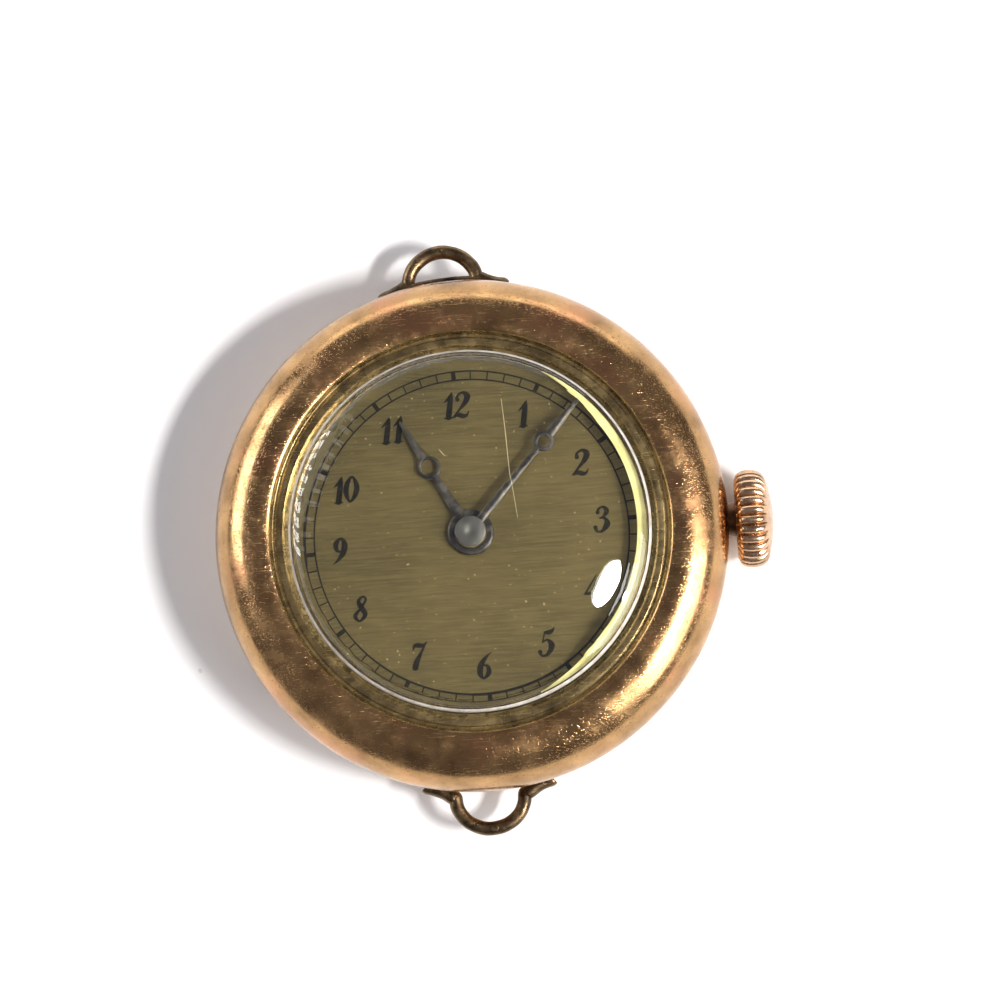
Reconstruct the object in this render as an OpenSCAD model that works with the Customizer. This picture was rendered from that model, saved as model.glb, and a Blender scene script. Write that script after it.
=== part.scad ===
// Small round watch with wire ribbon loops at 12 and 6 and a crown at 3.
// The origin is the centre of the flat face of the back cover, +Z goes up through the crystal,
// +X points to the crown (3 on the dial) and +Y points to 12 on the dial. All sizes in millimetres.

/* [Case] */
// Widest diameter of the bezel
case_d = 28.06; // [28:0.02:28.3]
// Height of the top of the crystal over the flat back
crystal_top_z = 9.8; // [9.4:0.1:10.4]
// Diameter of the hole in the bezel that holds the crystal
crystal_seat_d = 19.8; // [19.6:0.1:20]
// Height of the outer corner of the crystal's rim
crystal_shoulder_z = 7.35; // [7.1:0.05:7.6]

/* [Loops] */
// Wire thickness of a loop
loop_wire_d = 0.76; // [0.6:0.02:0.8]
// Inside width of a loop
loop_gap_w = 3.06; // [2.6:0.1:3.4]
// Distance from the watch centre to the outer side of a loop's wire
loop_reach = 16.35; // [16:0.05:16.6]
// How far the loop at 12 is soldered off the line to 12, in degrees
loop_12_skew = 3.2; // [-4:0.1:4]

/* [Crown] */
// Diameter over the ribs of the crown
crown_d = 5.35; // [4.6:0.05:5.6]
// Distance from the watch centre to the outer end of the crown
crown_end_x = 16.5; // [16.2:0.05:16.8]
// Number of ribs round the crown
crown_ribs = 28; // [20:1:32]
// How far the crown pulls out to set the hands
crown_pull = 0.6; // [0.5:0.05:0.6]

/* [Dial and hands] */
// How far the dial and its hands sit turned in the case, in degrees
dial_turn = 2.8; // [-3:0.1:3]
// Hour that the hands show
shown_hour = 11; // [0:1:11]
// Minute that the hands show
shown_minute = 7.6; // [0:0.1:59.9]
// Length of the minute hand from its centre to its tip
minute_hand_len = 9.35; // [8.5:0.05:9.4]
// Length of the hour hand from its centre to its tip
hour_hand_len = 7.1; // [6:0.1:7.6]

/* [Hidden] */

$fn = 96;
fit = 0.02;         // radial play of a fixed piece in its hole
play = 0.03;        // gap between turning faces
cut = 1;            // how far a cutting shape runs past the face it cuts

// ---- tooth counts ----
barrel_teeth = 80;       // teeth of the barrel
centre_leaves = 10;      // leaves of the centre pinion
centre_teeth = 64;       // teeth of the centre wheel
train_teeth = 60;        // teeth of the third wheel and of the fourth wheel
train_leaves = 8;        // leaves of the third pinion and of the fourth pinion
escape_leaves = 6;       // leaves of the escape pinion
escape_teeth = 15;       // teeth of the escape wheel
winding_teeth = 17;      // teeth of the winding pinion
crown_wheel_teeth = 30;  // teeth of the crown wheel
ratchet_teeth = 36;      // teeth of the ratchet wheel
cannon_leaves = 12;      // leaves of the cannon pinion
minute_teeth = 36;       // teeth of the minute wheel
minute_leaves = 10;      // leaves of the minute pinion
hour_teeth = 40;         // teeth of the hour wheel
setting_teeth = 20;      // teeth of the setting wheel

// ---- case heights and radii ----
case_r = case_d / 2;
band_r = 13.72;     // visible band between back cover and bezel, at its top
band_low_r = 13.5;  // and at its foot
snap_r = 12.95;     // rims that the bezel and the back cover snap over
band_bore_r = 12.2;
floor_t = 0.45;     // thickness of the back cover
band_z0 = 1.85;
band_z1 = 3.4;
snap_z0 = 0.9;
snap_z1 = 5.05;
ledge_z0 = 1.9;
ledge_z1 = 2.15;
ledge_r = 11.6;
bezel_z0 = 3.45;
bezel_wide_z = 4.6;
bezel_crest_r = 11.5;
bezel_crest_z = 7.3;
bezel_lip_r = 10.84;
bezel_lip_z = 7.12;
step_z = 6.8;       // ring between the lip and the crystal
flange_z = 5.95;    // underside of the bezel over the dial
seat_r = crystal_seat_d / 2;
crystal_r = seat_r - 0.05;
crystal_t = 0.7;
crystal_z0 = 6.0;
stem_z = 3.0;
tube_r = 0.92;
tube_bore_r = 0.55;
tube_x0 = 12.3;
tube_x1 = 14.9;
loop_z = 2.62;      // height of the wire loops

// ---- movement heights, from the back up ----
head_z0 = 0.58;     // screw heads on the winding wheels
winding_z0 = 0.8;
bridge_z0 = 1.2;
bridge_z1 = 1.95;
plate_z0 = 3.75;
plate_z1 = 4.85;
dial_z0 = 5.5;
dial_z1 = 5.8;
arbor_z0 = 1.98;    // shoulders of the train's arbors, between bridge and plate
arbor_z1 = 3.72;
cannon_z0 = 4.9;    // motion works, between plate and dial
hour_wheel_z0 = 5.22;
minute_wheel_z0 = 4.94;
minute_wheel_z1 = 5.12;
setting_z0 = 3.98;
setting_z1 = 5.1;
hour_hand_z0 = 5.98;
hour_hand_z1 = 6.2;
minute_hand_z0 = 6.48;
minute_hand_z1 = 6.72;
cannon_z1 = 6.8;
movement_r = 10.5;
bridge_r = 10.3;
dial_r = 10.2;
dial_hole_r = 0.95;
dial_foot_r = 0.3;
jewel_r = 0.5;
jewel_hole_r = 0.1;
jewel_t = 0.35;
pivot_r = 0.08;
barrel_pivot_r = 0.45;

// ---- gear sizes and places ----
barrel_c = 5.3;                               // centre distance, barrel to centre pinion
barrel_a = 64.3;
barrel_at = barrel_c * [cos(barrel_a), sin(barrel_a)];
barrel_z0 = 2.08;
barrel_z1 = 3.42;
drum_floor_z = 2.36;
drum_bore_r = 3.88;
barrel_hole_r = 0.52;
barrel_m = 2 * barrel_c / (barrel_teeth + centre_leaves);
centre_m = 0.125;
third_m = 0.1083;
fourth_m = 0.1;
third_a = 183.9;
third_c = centre_m * (centre_teeth + train_leaves) / 2;
third_at = third_c * [cos(third_a), sin(third_a)];
fourth_a = -81.7;                             // direction from the third wheel
fourth_c = third_m * (train_teeth + train_leaves) / 2;
fourth_at = third_at + fourth_c * [cos(fourth_a), sin(fourth_a)];
escape_a = -30;                               // direction from the fourth wheel
escape_c = fourth_m * (train_teeth + escape_leaves) / 2;
escape_at = fourth_at + escape_c * [cos(escape_a), sin(escape_a)];
escape_r = 1.75;
balance_at = [3.7, -4.75];
balance_r = 3.4;
lever_a = 190;                                // direction of the fork's pivot from the balance
lever_c = 2.85;
pallet_at = balance_at + lever_c * [cos(lever_a), sin(lever_a)];
winding_r = 1.48;                             // pitch radii of the winding works
crown_wheel_r = 2.6;
ratchet_r = 3.12;
crown_wheel_at = [5.45, 0];
crown_ring_r = 1.03;
motion_c = 2.9;                               // centre distance of the motion works
cannon_m = 2 * motion_c / (cannon_leaves + minute_teeth);
hour_m = 2 * motion_c / (minute_leaves + hour_teeth);
setting_c = cannon_m * (setting_teeth + minute_teeth) / 2;
setting_at = [4.41, 0];
cannon_pipe_r = 0.57;
hour_pipe_r = 0.85;
// the minute wheel's post lies motion_c from the centre and setting_c from the setting wheel
minute_x = (motion_c * motion_c - setting_c * setting_c + setting_at.x * setting_at.x)
           / (2 * setting_at.x);
minute_at = [minute_x, -sqrt(motion_c * motion_c - minute_x * minute_x)];

function dir(from, to) = atan2(to.y - from.y, to.x - from.x);
// angle of a tooth of wheel B that meshes with wheel A, theta being the direction from A to B
function meshed(theta, tooth_a, n_a, n_b) =
    theta + 180 + ((theta - tooth_a) * n_a / 360 + 0.5) * 360 / n_b;

centre_at = [0, 0];
barrel_turn = meshed(barrel_a, 0, centre_leaves, barrel_teeth);
third_turn = meshed(third_a, 0, centre_teeth, train_leaves);
fourth_turn = meshed(fourth_a, third_turn, train_teeth, train_leaves);
escape_turn = meshed(escape_a, fourth_turn, train_teeth, escape_leaves);
crown_wheel_turn = 180 / crown_wheel_teeth;
ratchet_turn = meshed(dir(crown_wheel_at, barrel_at), crown_wheel_turn,
                      crown_wheel_teeth, ratchet_teeth);
minute_turn = meshed(dir(centre_at, minute_at), 0, cannon_leaves, minute_teeth);
hour_turn = meshed(dir(minute_at, centre_at), minute_turn, minute_leaves, hour_teeth);
setting_turn = meshed(dir(minute_at, setting_at), minute_turn, minute_teeth, setting_teeth);

minute_hand_a = 90 + dial_turn - 6 * shown_minute;
hour_hand_a = 90 + dial_turn - 30 * shown_hour - shown_minute / 2;

// ---- posts ----
centre_post_r = 0.3;
minute_post_r = 0.25;
setting_post_r = 0.4;
lever_post_r = 0.2;

// ---- keyless works ----
clutch_x0 = 6.25;
clutch_x1 = 7.85;
clutch_r = 1.1;
pinion_x0 = 7.9;
pinion_x1 = 8.9;
groove_x0 = 8.95;
groove_x1 = 9.45;
groove_r = 0.3;
stem_r = 0.5;
lever_at = [9.5, 1.7];
lever_pin_at = [9.2, 0];
lever_tail_at = lever_at + [-1.3, 0.35];
yoke_at = [6.75, -2.3];
yoke_finger_at = [7.0, 0];
yoke_spring_at = [4.7, -3.6];       // foot of the yoke spring
lever_spring_at = [6.9, 4.6];       // foot of the setting lever spring
pinion_window = [7.6, 1.42, 1.66];  // start, length and half width of the pinion's window
bearing_x0 = 5;                     // inner and outer bearings of the stem
bearing_x1 = 9.62;
bearing_end = 10.35;
face_tooth = 0.2;                   // height of the teeth between clutch and pinion
face_teeth_n = 12;
face_bore_r = 0.6;
keyless_z0 = 4.88;
keyless_z1 = 5.06;
cover_z0 = 5.14;
cover_z1 = 5.32;

// ---- hairspring and regulator ----
spring_r0 = 0.47;
spring_r1 = 1.8;
spring_turns = 6;
stud_a = 60;
stud_r = 2.1;
stud_at = balance_at + stud_r * [cos(stud_a), sin(stud_a)];
regulator_z0 = 0.98;
regulator_a = 150;
spring_z0 = 2.05;
spring_z1 = 2.17;
spring_t = 0.06;
// the curb pins stand on both sides of the outermost coil
curb_r = spring_r0 + (spring_r1 - spring_r0)
         * (spring_turns - 1 + (regulator_a - stud_a) / 360) / spring_turns;

// ---- pallet fork ----
pallet_span = 30;   // half the angle between the pallet stones, seen from the escape wheel
fork_z0 = 2.88;
fork_z1 = 3.06;
stone_gap = 0.1;    // the stones stand clear of the tooth tips so that both can be posed freely

// ---- click ----
click_at = barrel_at + 4.2 * [cos(160), sin(160)];
click_tail = [-0.75, -0.75];
click_spring_foot = click_at + [-0.05, -3];
click_spring_tip = click_at + click_tail + 0.28 * [sin(45), -sin(45)];

// ---- places of the pillars and of the screws in them ----
barrel_pillars = [[-3.6, 7.9], [8.6, 4.4], [8.55, -2.3]];
train_pillars = [[-8.3, 3], [-7.6, -5.6], [-1.4, -9]];
cock_pillars = [[8.5, -4.2]];
pillars = concat(barrel_pillars, train_pillars, cock_pillars);
pallet_foot_at = [1.35, -7.8];
pallet_cock_z0 = 2.63;
pallet_cock_z1 = 2.83;
pallet_screw_head_r = 0.42;
pillar_r = 0.72;
slim_pillar_r = 0.5;
screw_r = 0.25;
screw_head_r = 0.48;
case_screw_r = 0.28;
small_screw_r = 0.15;
bridge_screw_tip_z = bridge_z1 - 0.05;
stud_pin_r = 0.15;
train_at = [third_at, fourth_at, escape_at];
jewelled_at = concat(train_at, [pallet_at, balance_at]);
case_screws_at = [for (a = [130, 300]) 10.1 * [cos(a), sin(a)]];
dial_feet_at = [for (a = [100, 235]) 9.3 * [cos(a + dial_turn), sin(a + dial_turn)]];

// ================= shapes used more than once =================

function arc(r, a0, a1, steps) = [for (i = [0:steps]) r * [cos(a0 + (a1 - a0) * i / steps),
                                                           sin(a0 + (a1 - a0) * i / steps)]];
function shifted(points, by) = [for (p = points) p + by];

module disc(r, z0, z1) {
    translate([0, 0, z0])
        cylinder(r = r, h = z1 - z0);
}

module ring(r_out, r_in, z0, z1) {
    difference() {
        disc(r_out, z0, z1);
        disc(r_in, z0 - cut, z1 + cut);
    }
}

module at(p, z = 0) {
    translate([p.x, p.y, z])
        children();
}

module along_x(x0, x1, r) {
    translate([x0, 0, stem_z])
        rotate([0, 90, 0])
            cylinder(r = r, h = x1 - x0);
}

// outline of n teeth; add and ded are the heights over and under the pitch circle
module teeth_outline(n, pitch_r, add, ded, tip_share, root_share) {
    step = 360 / n;
    polygon([for (i = [0:n - 1], k = [-1, 1], e = [0, 1])
        let (tip = (k < 0) ? e : 1 - e,
             share = tip > 0 ? tip_share : root_share,
             r = tip > 0 ? pitch_r + add : pitch_r - ded,
             a = i * step + k * share * step / 2)
        r * [cos(a), sin(a)]]);
}

module wheel_teeth(n, m, z0, z1) {
    translate([0, 0, z0])
        linear_extrude(z1 - z0)
            teeth_outline(n, n * m / 2, 0.8 * m, 1.15 * m, 0.2, 0.5);
}

module pinion_teeth(n, m, z0, z1) {
    translate([0, 0, z0])
        linear_extrude(z1 - z0)
            teeth_outline(n, n * m / 2, 0.7 * m, 1.2 * m, 0.16, 0.4);
}

// spoked wheel with teeth
module train_wheel(n, m, z0, z1, bore_r, hub_r, spokes = 4, spoke_w = 0.3) {
    root_r = n * m / 2 - 1.15 * m;
    rim_r = root_r - 0.28;
    difference() {
        wheel_teeth(n, m, z0, z1);
        difference() {
            ring(rim_r, hub_r, z0 - cut, z1 + cut);
            for (i = [0:spokes - 1])
                rotate(i * 360 / spokes)
                    translate([0, -spoke_w / 2, z0 - 2 * cut])
                        cube([rim_r + cut, spoke_w, z1 - z0 + 4 * cut]);
        }
        disc(bore_r, z0 - cut, z1 + cut);
    }
}

// steel arbor with a thin pivot at each end
module arbor(z0, z1, r, low = 0.3, high = 0.28) {
    disc(r, z0, z1);
    disc(pivot_r, z0 - low, z0 + cut / 2);
    disc(pivot_r, z1 - cut / 2, z1 + high);
}

// screw with its slotted head towards -Z
module screw_down(head_r, head_z0, head_z1, r, tip_z) {
    slot_w = 0.12;
    slot_d = 0.1;
    difference() {
        disc(head_r, head_z0, head_z1);
        translate([-head_r - cut, -slot_w / 2, head_z0 - cut])
            cube([2 * head_r + 2 * cut, slot_w, slot_d + cut]);
    }
    disc(r, head_z1 - fit, tip_z);
}

// flat spiral strip from r0 to r1
module spiral(r0, r1, turns, t, z0, z1, per_turn = 22) {
    steps = turns * per_turn;
    inner = [for (i = [0:steps])
        let (a = 360 * i / per_turn, r = r0 + (r1 - r0) * i / steps)
        (r - t / 2) * [cos(a), sin(a)]];
    outer = [for (i = [steps:-1:0])
        let (a = 360 * i / per_turn, r = r0 + (r1 - r0) * i / steps)
        (r + t / 2) * [cos(a), sin(a)]];
    translate([0, 0, z0])
        linear_extrude(z1 - z0)
            polygon(concat(inner, outer));
}

// flat bar with round ends between two points
module link(p, q, w, z0, z1) {
    at(p) disc(w / 2, z0, z1);
    at(q) disc(w / 2, z0, z1);
    translate([p.x, p.y, z0])
        rotate(dir(p, q))
            translate([0, -w / 2, 0])
                cube([norm(q - p), w, z1 - z0]);
}

// ================= case =================

// elliptic outer side of the bezel from its lower edge to the crest
function bezel_side(steps) =
    let (a = case_r - bezel_crest_r,
         b = bezel_crest_z - bezel_wide_z,
         low = asin((bezel_z0 - bezel_wide_z) / b))
    [for (i = [0:steps]) let (t = low + (90 - low) * i / steps)
        [bezel_crest_r + a * cos(t), bezel_wide_z + b * sin(t)]];

module bezel() {
    skirt_r = snap_r + 0.05;
    groove_r = seat_r + 0.22;
    groove_z = 6.4;
    color("#b8874f")
    difference() {
        rotate_extrude()
            polygon(concat(
                bezel_side(20),
                [[bezel_lip_r + 0.12, bezel_lip_z + 0.02], [bezel_lip_r, bezel_lip_z - 0.06],
                 [bezel_lip_r - 0.06, step_z - 0.04], [bezel_lip_r - 0.6, step_z - 0.02],
                 [groove_r + 0.08, step_z], [groove_r, step_z - 0.08], [groove_r, groove_z],
                 [seat_r, groove_z], [seat_r, flange_z], [snap_r - 0.6, flange_z],
                 [skirt_r, snap_z1 + 0.1], [skirt_r, bezel_z0]]));
        along_x(snap_r - 0.5, case_r + cut, tube_r + 0.05);
    }
}

// dome radius through the top and a rim point
function dome_r(rim_r, rise) = (rim_r * rim_r + rise * rise) / (2 * rise);

function dome(rim_r, rim_z, top_z, steps) =
    let (rise = top_z - rim_z, R = dome_r(rim_r, rise))
    [for (i = [0:steps]) let (r = rim_r * (1 - i / steps))
        [r, top_z - R + sqrt(R * R - r * r)]];

module crystal() {
    edge_r = crystal_r - 0.62;
    edge_z = crystal_shoulder_z + 0.62;
    bore_r = crystal_r - 0.38;      // leaves room for the tip of the minute hand
    inner_r = crystal_r - 1;
    inner_z = edge_z - 0.72;
    color("#dfe8ea", 0.35)
    rotate_extrude()
        polygon(concat(
            [[crystal_r, crystal_z0], [crystal_r, crystal_shoulder_z],
             [crystal_r - 0.09, crystal_shoulder_z + 0.24],
             [crystal_r - 0.3, crystal_shoulder_z + 0.46]],
            dome(edge_r, edge_z, crystal_top_z, 14),
            reverse_points(dome(inner_r, inner_z, crystal_top_z - crystal_t, 14)),
            [[bore_r - 0.22, inner_z - 0.14], [bore_r, inner_z - 0.42], [bore_r, crystal_z0]]));
}

function reverse_points(list) = [for (i = [len(list) - 1:-1:0]) list[i]];

module case_middle() {
    lug_seat = 0.35;
    color("#a97a45")
    difference() {
        rotate_extrude()
            polygon([[band_bore_r, snap_z0], [snap_r - 0.08, snap_z0], [snap_r - 0.05, band_z0],
                     [band_low_r - 0.1, band_z0], [band_low_r, band_z0 + 0.1], [band_r, band_z1 - 0.1],
                     [band_r - 0.1, band_z1], [snap_r, band_z1], [snap_r, snap_z1 - lug_seat],
                     [snap_r - 0.15, snap_z1], [band_bore_r, snap_z1], [band_bore_r, ledge_z1],
                     [ledge_r, ledge_z1], [ledge_r, ledge_z0], [band_bore_r, ledge_z0]]);
        along_x(tube_x0 - cut, band_r + cut, tube_r + fit);
    }
}

module back_cover() {
    flat_r = 11.4;
    side_z = 1.3;
    rim_z = 1.8;
    lip_a = 204.8;
    lip_w = 1;
    lip_out = 0.62;
    color("#a97a45") {
        rotate_extrude()
            polygon(concat(
                [[0, 0], [flat_r, 0]],
                [for (t = [10:10:90])
                    [flat_r + (band_low_r - flat_r) * sin(t), side_z * (1 - cos(t))]],
                [[band_low_r, rim_z - 0.08], [band_low_r - 0.08, rim_z], [snap_r, rim_z],
                 [snap_r, 0.95], [snap_r - 0.6, floor_t], [0, floor_t]]));
        rotate(lip_a)
            translate([band_low_r - 0.2, -lip_w / 2, rim_z - 0.45])
                cube([0.2 + lip_out, lip_w, 0.4]);
    }
}

// round wire arch whose ends are flattened and splayed into two feet on the band; foot_a is
// how far a foot reaches from the loop's middle and foot_tip how thick it is there; strap is
// the strip under the arch that joins the feet
module ribbon_loop(foot_a, foot_tip, foot_rise, strap) {
    wire_r = loop_wire_d / 2;
    arch_r = loop_gap_w / 2 + wire_r;
    arch_y = loop_reach - wire_r - arch_r;
    leg_y = arch_y - 0.12;
    foot_in = band_r - 0.04;
    foot_h = 1.5 * wire_r;
    steps = 8;
    leg_a = asin(arch_r / foot_in) + 0.2;
    translate([0, 0, loop_z]) {
        translate([0, arch_y, 0])
            rotate_extrude(angle = 180)
                translate([arch_r, 0])
                    circle(r = wire_r, $fn = 48);
        for (side = [0, 1])
            mirror([side, 0, 0]) {
                translate([arch_r, leg_y, 0])
                    rotate([-90, 0, 0])
                        cylinder(r = wire_r, h = arch_y - leg_y, $fn = 48);
                translate([0, 0, -foot_h / 2])
                    linear_extrude(foot_h)
                        polygon(concat(
                            arc(foot_in, 90 - leg_a, 90 - foot_a, steps),
                            [for (i = [0:steps])
                                let (t = i / steps, a = 90 - foot_a + (foot_a - leg_a) * t)
                                (foot_in + foot_tip + foot_rise * pow(t, 2.5)) * [cos(a), sin(a)]]));
            }
        if (strap)
            translate([0, 0, -foot_h / 2])
                linear_extrude(foot_h)
                    polygon(concat(arc(foot_in, 90 + leg_a, 90 - leg_a, steps),
                                   arc(foot_in + foot_tip - 0.05, 90 - leg_a, 90 + leg_a, steps)));
    }
}

module loop_12() {
    color("#6f5530")
    rotate(loop_12_skew)
        ribbon_loop(14.2, 0.88, 0.24, true);
}

module loop_6() {
    color("#6f5530")
    mirror([0, 1, 0])
        ribbon_loop(14.8, 0.65, 0.45, false);
}

module crown_tube() {
    color("#a0764a")
    difference() {
        along_x(tube_x0, tube_x1, tube_r);
        along_x(tube_x0 - cut, tube_x1 + cut, tube_bore_r);
    }
}

module crown() {
    r = crown_d / 2;
    len = 2.07;
    rib = 0.16;
    core_r = r - rib - 0.03;
    rib_z0 = 0.12;
    rib_z1 = len - 0.52;
    color("#a0764a")
    translate([crown_end_x - len, 0, stem_z])
        rotate([0, 90, 0])
            difference() {
                union() {
                    translate([0, 0, rib_z0])
                        linear_extrude(rib_z1 - rib_z0)
                            teeth_outline(crown_ribs, r - rib, rib, 0, 0.3, 0.7);
                    rotate_extrude()
                        polygon([[0, 0], [core_r - 0.12, 0], [core_r, 0.06], [core_r, len - 0.46],
                                 [core_r - 0.14, len - 0.3], [core_r - 0.6, len - 0.15],
                                 [core_r - 1.4, len - 0.04], [0, len]]);
                }
                disc(tube_r + 0.12, -cut, 0.95);
            }
}

module stem() {
    square_w = 0.58;
    color("#8d9094") {
        along_x(4.4, 5.9, 0.2);
        translate([5.9, -square_w / 2, stem_z - square_w / 2])
            cube([2.05, square_w, square_w]);
        along_x(7.9, groove_x0, 0.41);
        along_x(groove_x0 - 0.01, groove_x1 + 0.01, groove_r);
        along_x(groove_x1, crown_end_x - 1.12, stem_r);
    }
}

// ================= movement holder and dial side =================

module movement_ring() {
    color("#b9a565")
    difference() {
        rotate_extrude()
            polygon([[11, 2.17], [band_bore_r - 0.05, 2.17], [band_bore_r - 0.05, dial_z0],
                     [movement_r + 0.05, dial_z0], [movement_r + 0.05, plate_z0],
                     [11, plate_z0]]);
        along_x(movement_r - cut, band_bore_r + cut, tube_bore_r + 0.15);
    }
}

module case_screws() {
    color("#8d9094")
    for (p = case_screws_at)
        at(p) screw_down(0.7, plate_z0 - 0.33, plate_z0, case_screw_r, plate_z0 + 0.85);
}

module dial() {
    color("#8d7b45") {
        ring(dial_r, dial_hole_r, dial_z0, dial_z1);
        for (p = dial_feet_at)
            at(p) disc(dial_foot_r, plate_z0 + 0.5, dial_z0 + 0.1);
    }
}

// hand with a ring near its tip; it points along +X before it is turned
module ring_hand(len, eye_x, eye_r, eye_in, boss_r, bore_r, root_w, tip_w, z0, z1) {
    bar_in = boss_r * 0.8;
    difference() {
        union() {
            disc(boss_r, z0, z1);
            translate([0, 0, z0])
                linear_extrude(z1 - z0) {
                    polygon([[bar_in, -root_w / 2], [eye_x - eye_in, -root_w * 0.3],
                             [eye_x - eye_in, root_w * 0.3], [bar_in, root_w / 2]]);
                    polygon([[eye_x + eye_in, -0.24], [len, -tip_w / 2],
                             [len, tip_w / 2], [eye_x + eye_in, 0.24]]);
                    translate([eye_x, 0])
                        difference() {
                            circle(r = eye_r, $fn = 48);
                            circle(r = eye_in, $fn = 48);
                        }
                }
        }
        disc(bore_r, z0 - cut, z1 + cut);
    }
}

module hour_hand() {
    color("#4c4d52")
    rotate(hour_hand_a)
        ring_hand(len = hour_hand_len, eye_x = 4.17, eye_r = 0.63, eye_in = 0.44,
                  boss_r = 1.25, bore_r = hour_pipe_r + fit, root_w = 0.62, tip_w = 0.14,
                  z0 = hour_hand_z0, z1 = hour_hand_z1);
}

module minute_hand() {
    color("#4c4d52")
    rotate(minute_hand_a)
        ring_hand(len = minute_hand_len, eye_x = 6.25, eye_r = 0.57, eye_in = 0.3,
                  boss_r = 0.8, bore_r = cannon_pipe_r + play, root_w = 0.46, tip_w = 0.14,
                  z0 = minute_hand_z0, z1 = minute_hand_z1);
}

module cannon_pinion() {
    color("#9a9da1")
    difference() {
        union() {
            pinion_teeth(cannon_leaves, cannon_m, cannon_z0, cannon_z0 + 0.28);
            disc(cannon_pipe_r, cannon_z0 + 0.2, cannon_z1);
        }
        disc(centre_post_r + play, cannon_z0 - cut, cannon_z1 - 0.18);
    }
}

module hour_wheel() {
    color("#c7a34e")
    rotate(hour_turn)
        difference() {
            union() {
                wheel_teeth(hour_teeth, hour_m, hour_wheel_z0, hour_wheel_z0 + 0.18);
                disc(hour_pipe_r, hour_wheel_z0 + 0.08, hour_hand_z1 + 0.06);
            }
            disc(cannon_pipe_r + play, hour_wheel_z0 - cut, hour_hand_z1 + cut);
        }
}

module minute_wheel() {
    color("#c7a34e")
    at(minute_at)
        rotate(minute_turn)
            difference() {
                union() {
                    wheel_teeth(minute_teeth, cannon_m, minute_wheel_z0, minute_wheel_z1);
                    pinion_teeth(minute_leaves, hour_m, minute_wheel_z1 - 0.02,
                                 minute_wheel_z1 + 0.32);
                }
                disc(minute_post_r + play, minute_wheel_z0 - cut, dial_z0 + cut);
            }
}

module setting_wheel() {
    color("#9a9da1")
    at(setting_at)
        rotate(setting_turn)
            difference() {
                wheel_teeth(setting_teeth, cannon_m, setting_z0, setting_z1);
                disc(setting_post_r + fit, setting_z0 - cut, setting_z1 + cut);
            }
}

module setting_lever() {
    color("#8d9094") {
        difference() {
            union() {
                link(lever_at, lever_pin_at, 0.42, keyless_z0, keyless_z1);
                link(lever_at, lever_tail_at, 0.42, keyless_z0, keyless_z1);
                at(lever_at) disc(0.37, keyless_z0, keyless_z1);
            }
            at(lever_at) disc(lever_post_r + play, keyless_z0 - cut, keyless_z1 + cut);
        }
        at(lever_pin_at) disc(0.17, stem_z + groove_r + 0.05, keyless_z0 + 0.01);
        at(lever_tail_at) disc(0.12, keyless_z1 - 0.01, cover_z0 - play);
    }
}

module setting_lever_spring() {
    tip_at = lever_at + [-1.75, 0.75];
    color("#8d9094")
    difference() {
        union() {
            link(lever_spring_at, lever_at, 0.66, cover_z0, cover_z1);
            link(lever_spring_at, tip_at, 0.22, cover_z0, cover_z1);
            at(lever_spring_at) disc(0.7, cover_z0, cover_z1);
        }
        at(lever_spring_at) disc(screw_r + fit, cover_z0 - cut, cover_z1 + cut);
        at(lever_at) disc(lever_post_r + fit, cover_z0 - cut, cover_z1 + cut);
    }
}

module yoke() {
    color("#8d9094") {
        difference() {
            union() {
                link(yoke_at, yoke_finger_at, 0.36, keyless_z0, keyless_z1);
                link(yoke_at, yoke_at + [0.6, -0.9], 0.34, keyless_z0, keyless_z1);
                at(yoke_at) disc(0.42, keyless_z0, keyless_z1);
            }
            at(yoke_at) disc(lever_post_r + play, keyless_z0 - cut, keyless_z1 + cut);
        }
        at(yoke_finger_at) disc(0.14, stem_z + 0.82, keyless_z0 + 0.01);
    }
}

module yoke_spring() {
    bend_at = [5.6, -1.7];
    tip_at = [6.62, -0.95];
    color("#8d9094")
    difference() {
        union() {
            at(yoke_spring_at) disc(0.5, keyless_z0, keyless_z1);
            link(yoke_spring_at, bend_at, 0.16, keyless_z0, keyless_z1);
            link(bend_at, tip_at, 0.14, keyless_z0, keyless_z1);
        }
        at(yoke_spring_at) disc(screw_r + fit, keyless_z0 - cut, keyless_z1 + cut);
    }
}

// screws of the keyless works, heads towards the dial
module keyless_screws() {
    slot_w = 0.12;
    head_h = 0.16;
    color("#5a6a8c")
    for (s = [[yoke_spring_at, keyless_z1], [lever_spring_at, cover_z1]])
        at(s[0]) {
            difference() {
                disc(screw_head_r, s[1], s[1] + head_h);
                translate([-cut, -slot_w / 2, s[1] + head_h / 2])
                    cube([2 * cut, slot_w, cut]);
            }
            disc(screw_r, plate_z0 + 0.3, s[1] + fit);
        }
}

// face teeth round an end of a part that turns on the stem; phase is 0 or half a tooth
module face_teeth(x0, x1, phase) {
    half_a = 80 / face_teeth_n;     // a little under a quarter of the pitch leaves play
    far = 2 * clutch_r;
    intersection() {
        difference() {
            along_x(x0, x1, clutch_r);
            along_x(x0 - cut, x1 + cut, face_bore_r);
        }
        translate([x0 - cut, 0, stem_z])
            rotate([0, 90, 0])
                linear_extrude(x1 - x0 + 2 * cut)
                    for (i = [0:face_teeth_n - 1])
                        rotate((i + phase) * 360 / face_teeth_n)
                            polygon([[0, 0], far * [cos(half_a), -sin(half_a)],
                                     far * [cos(half_a), sin(half_a)]]);
    }
}

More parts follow.
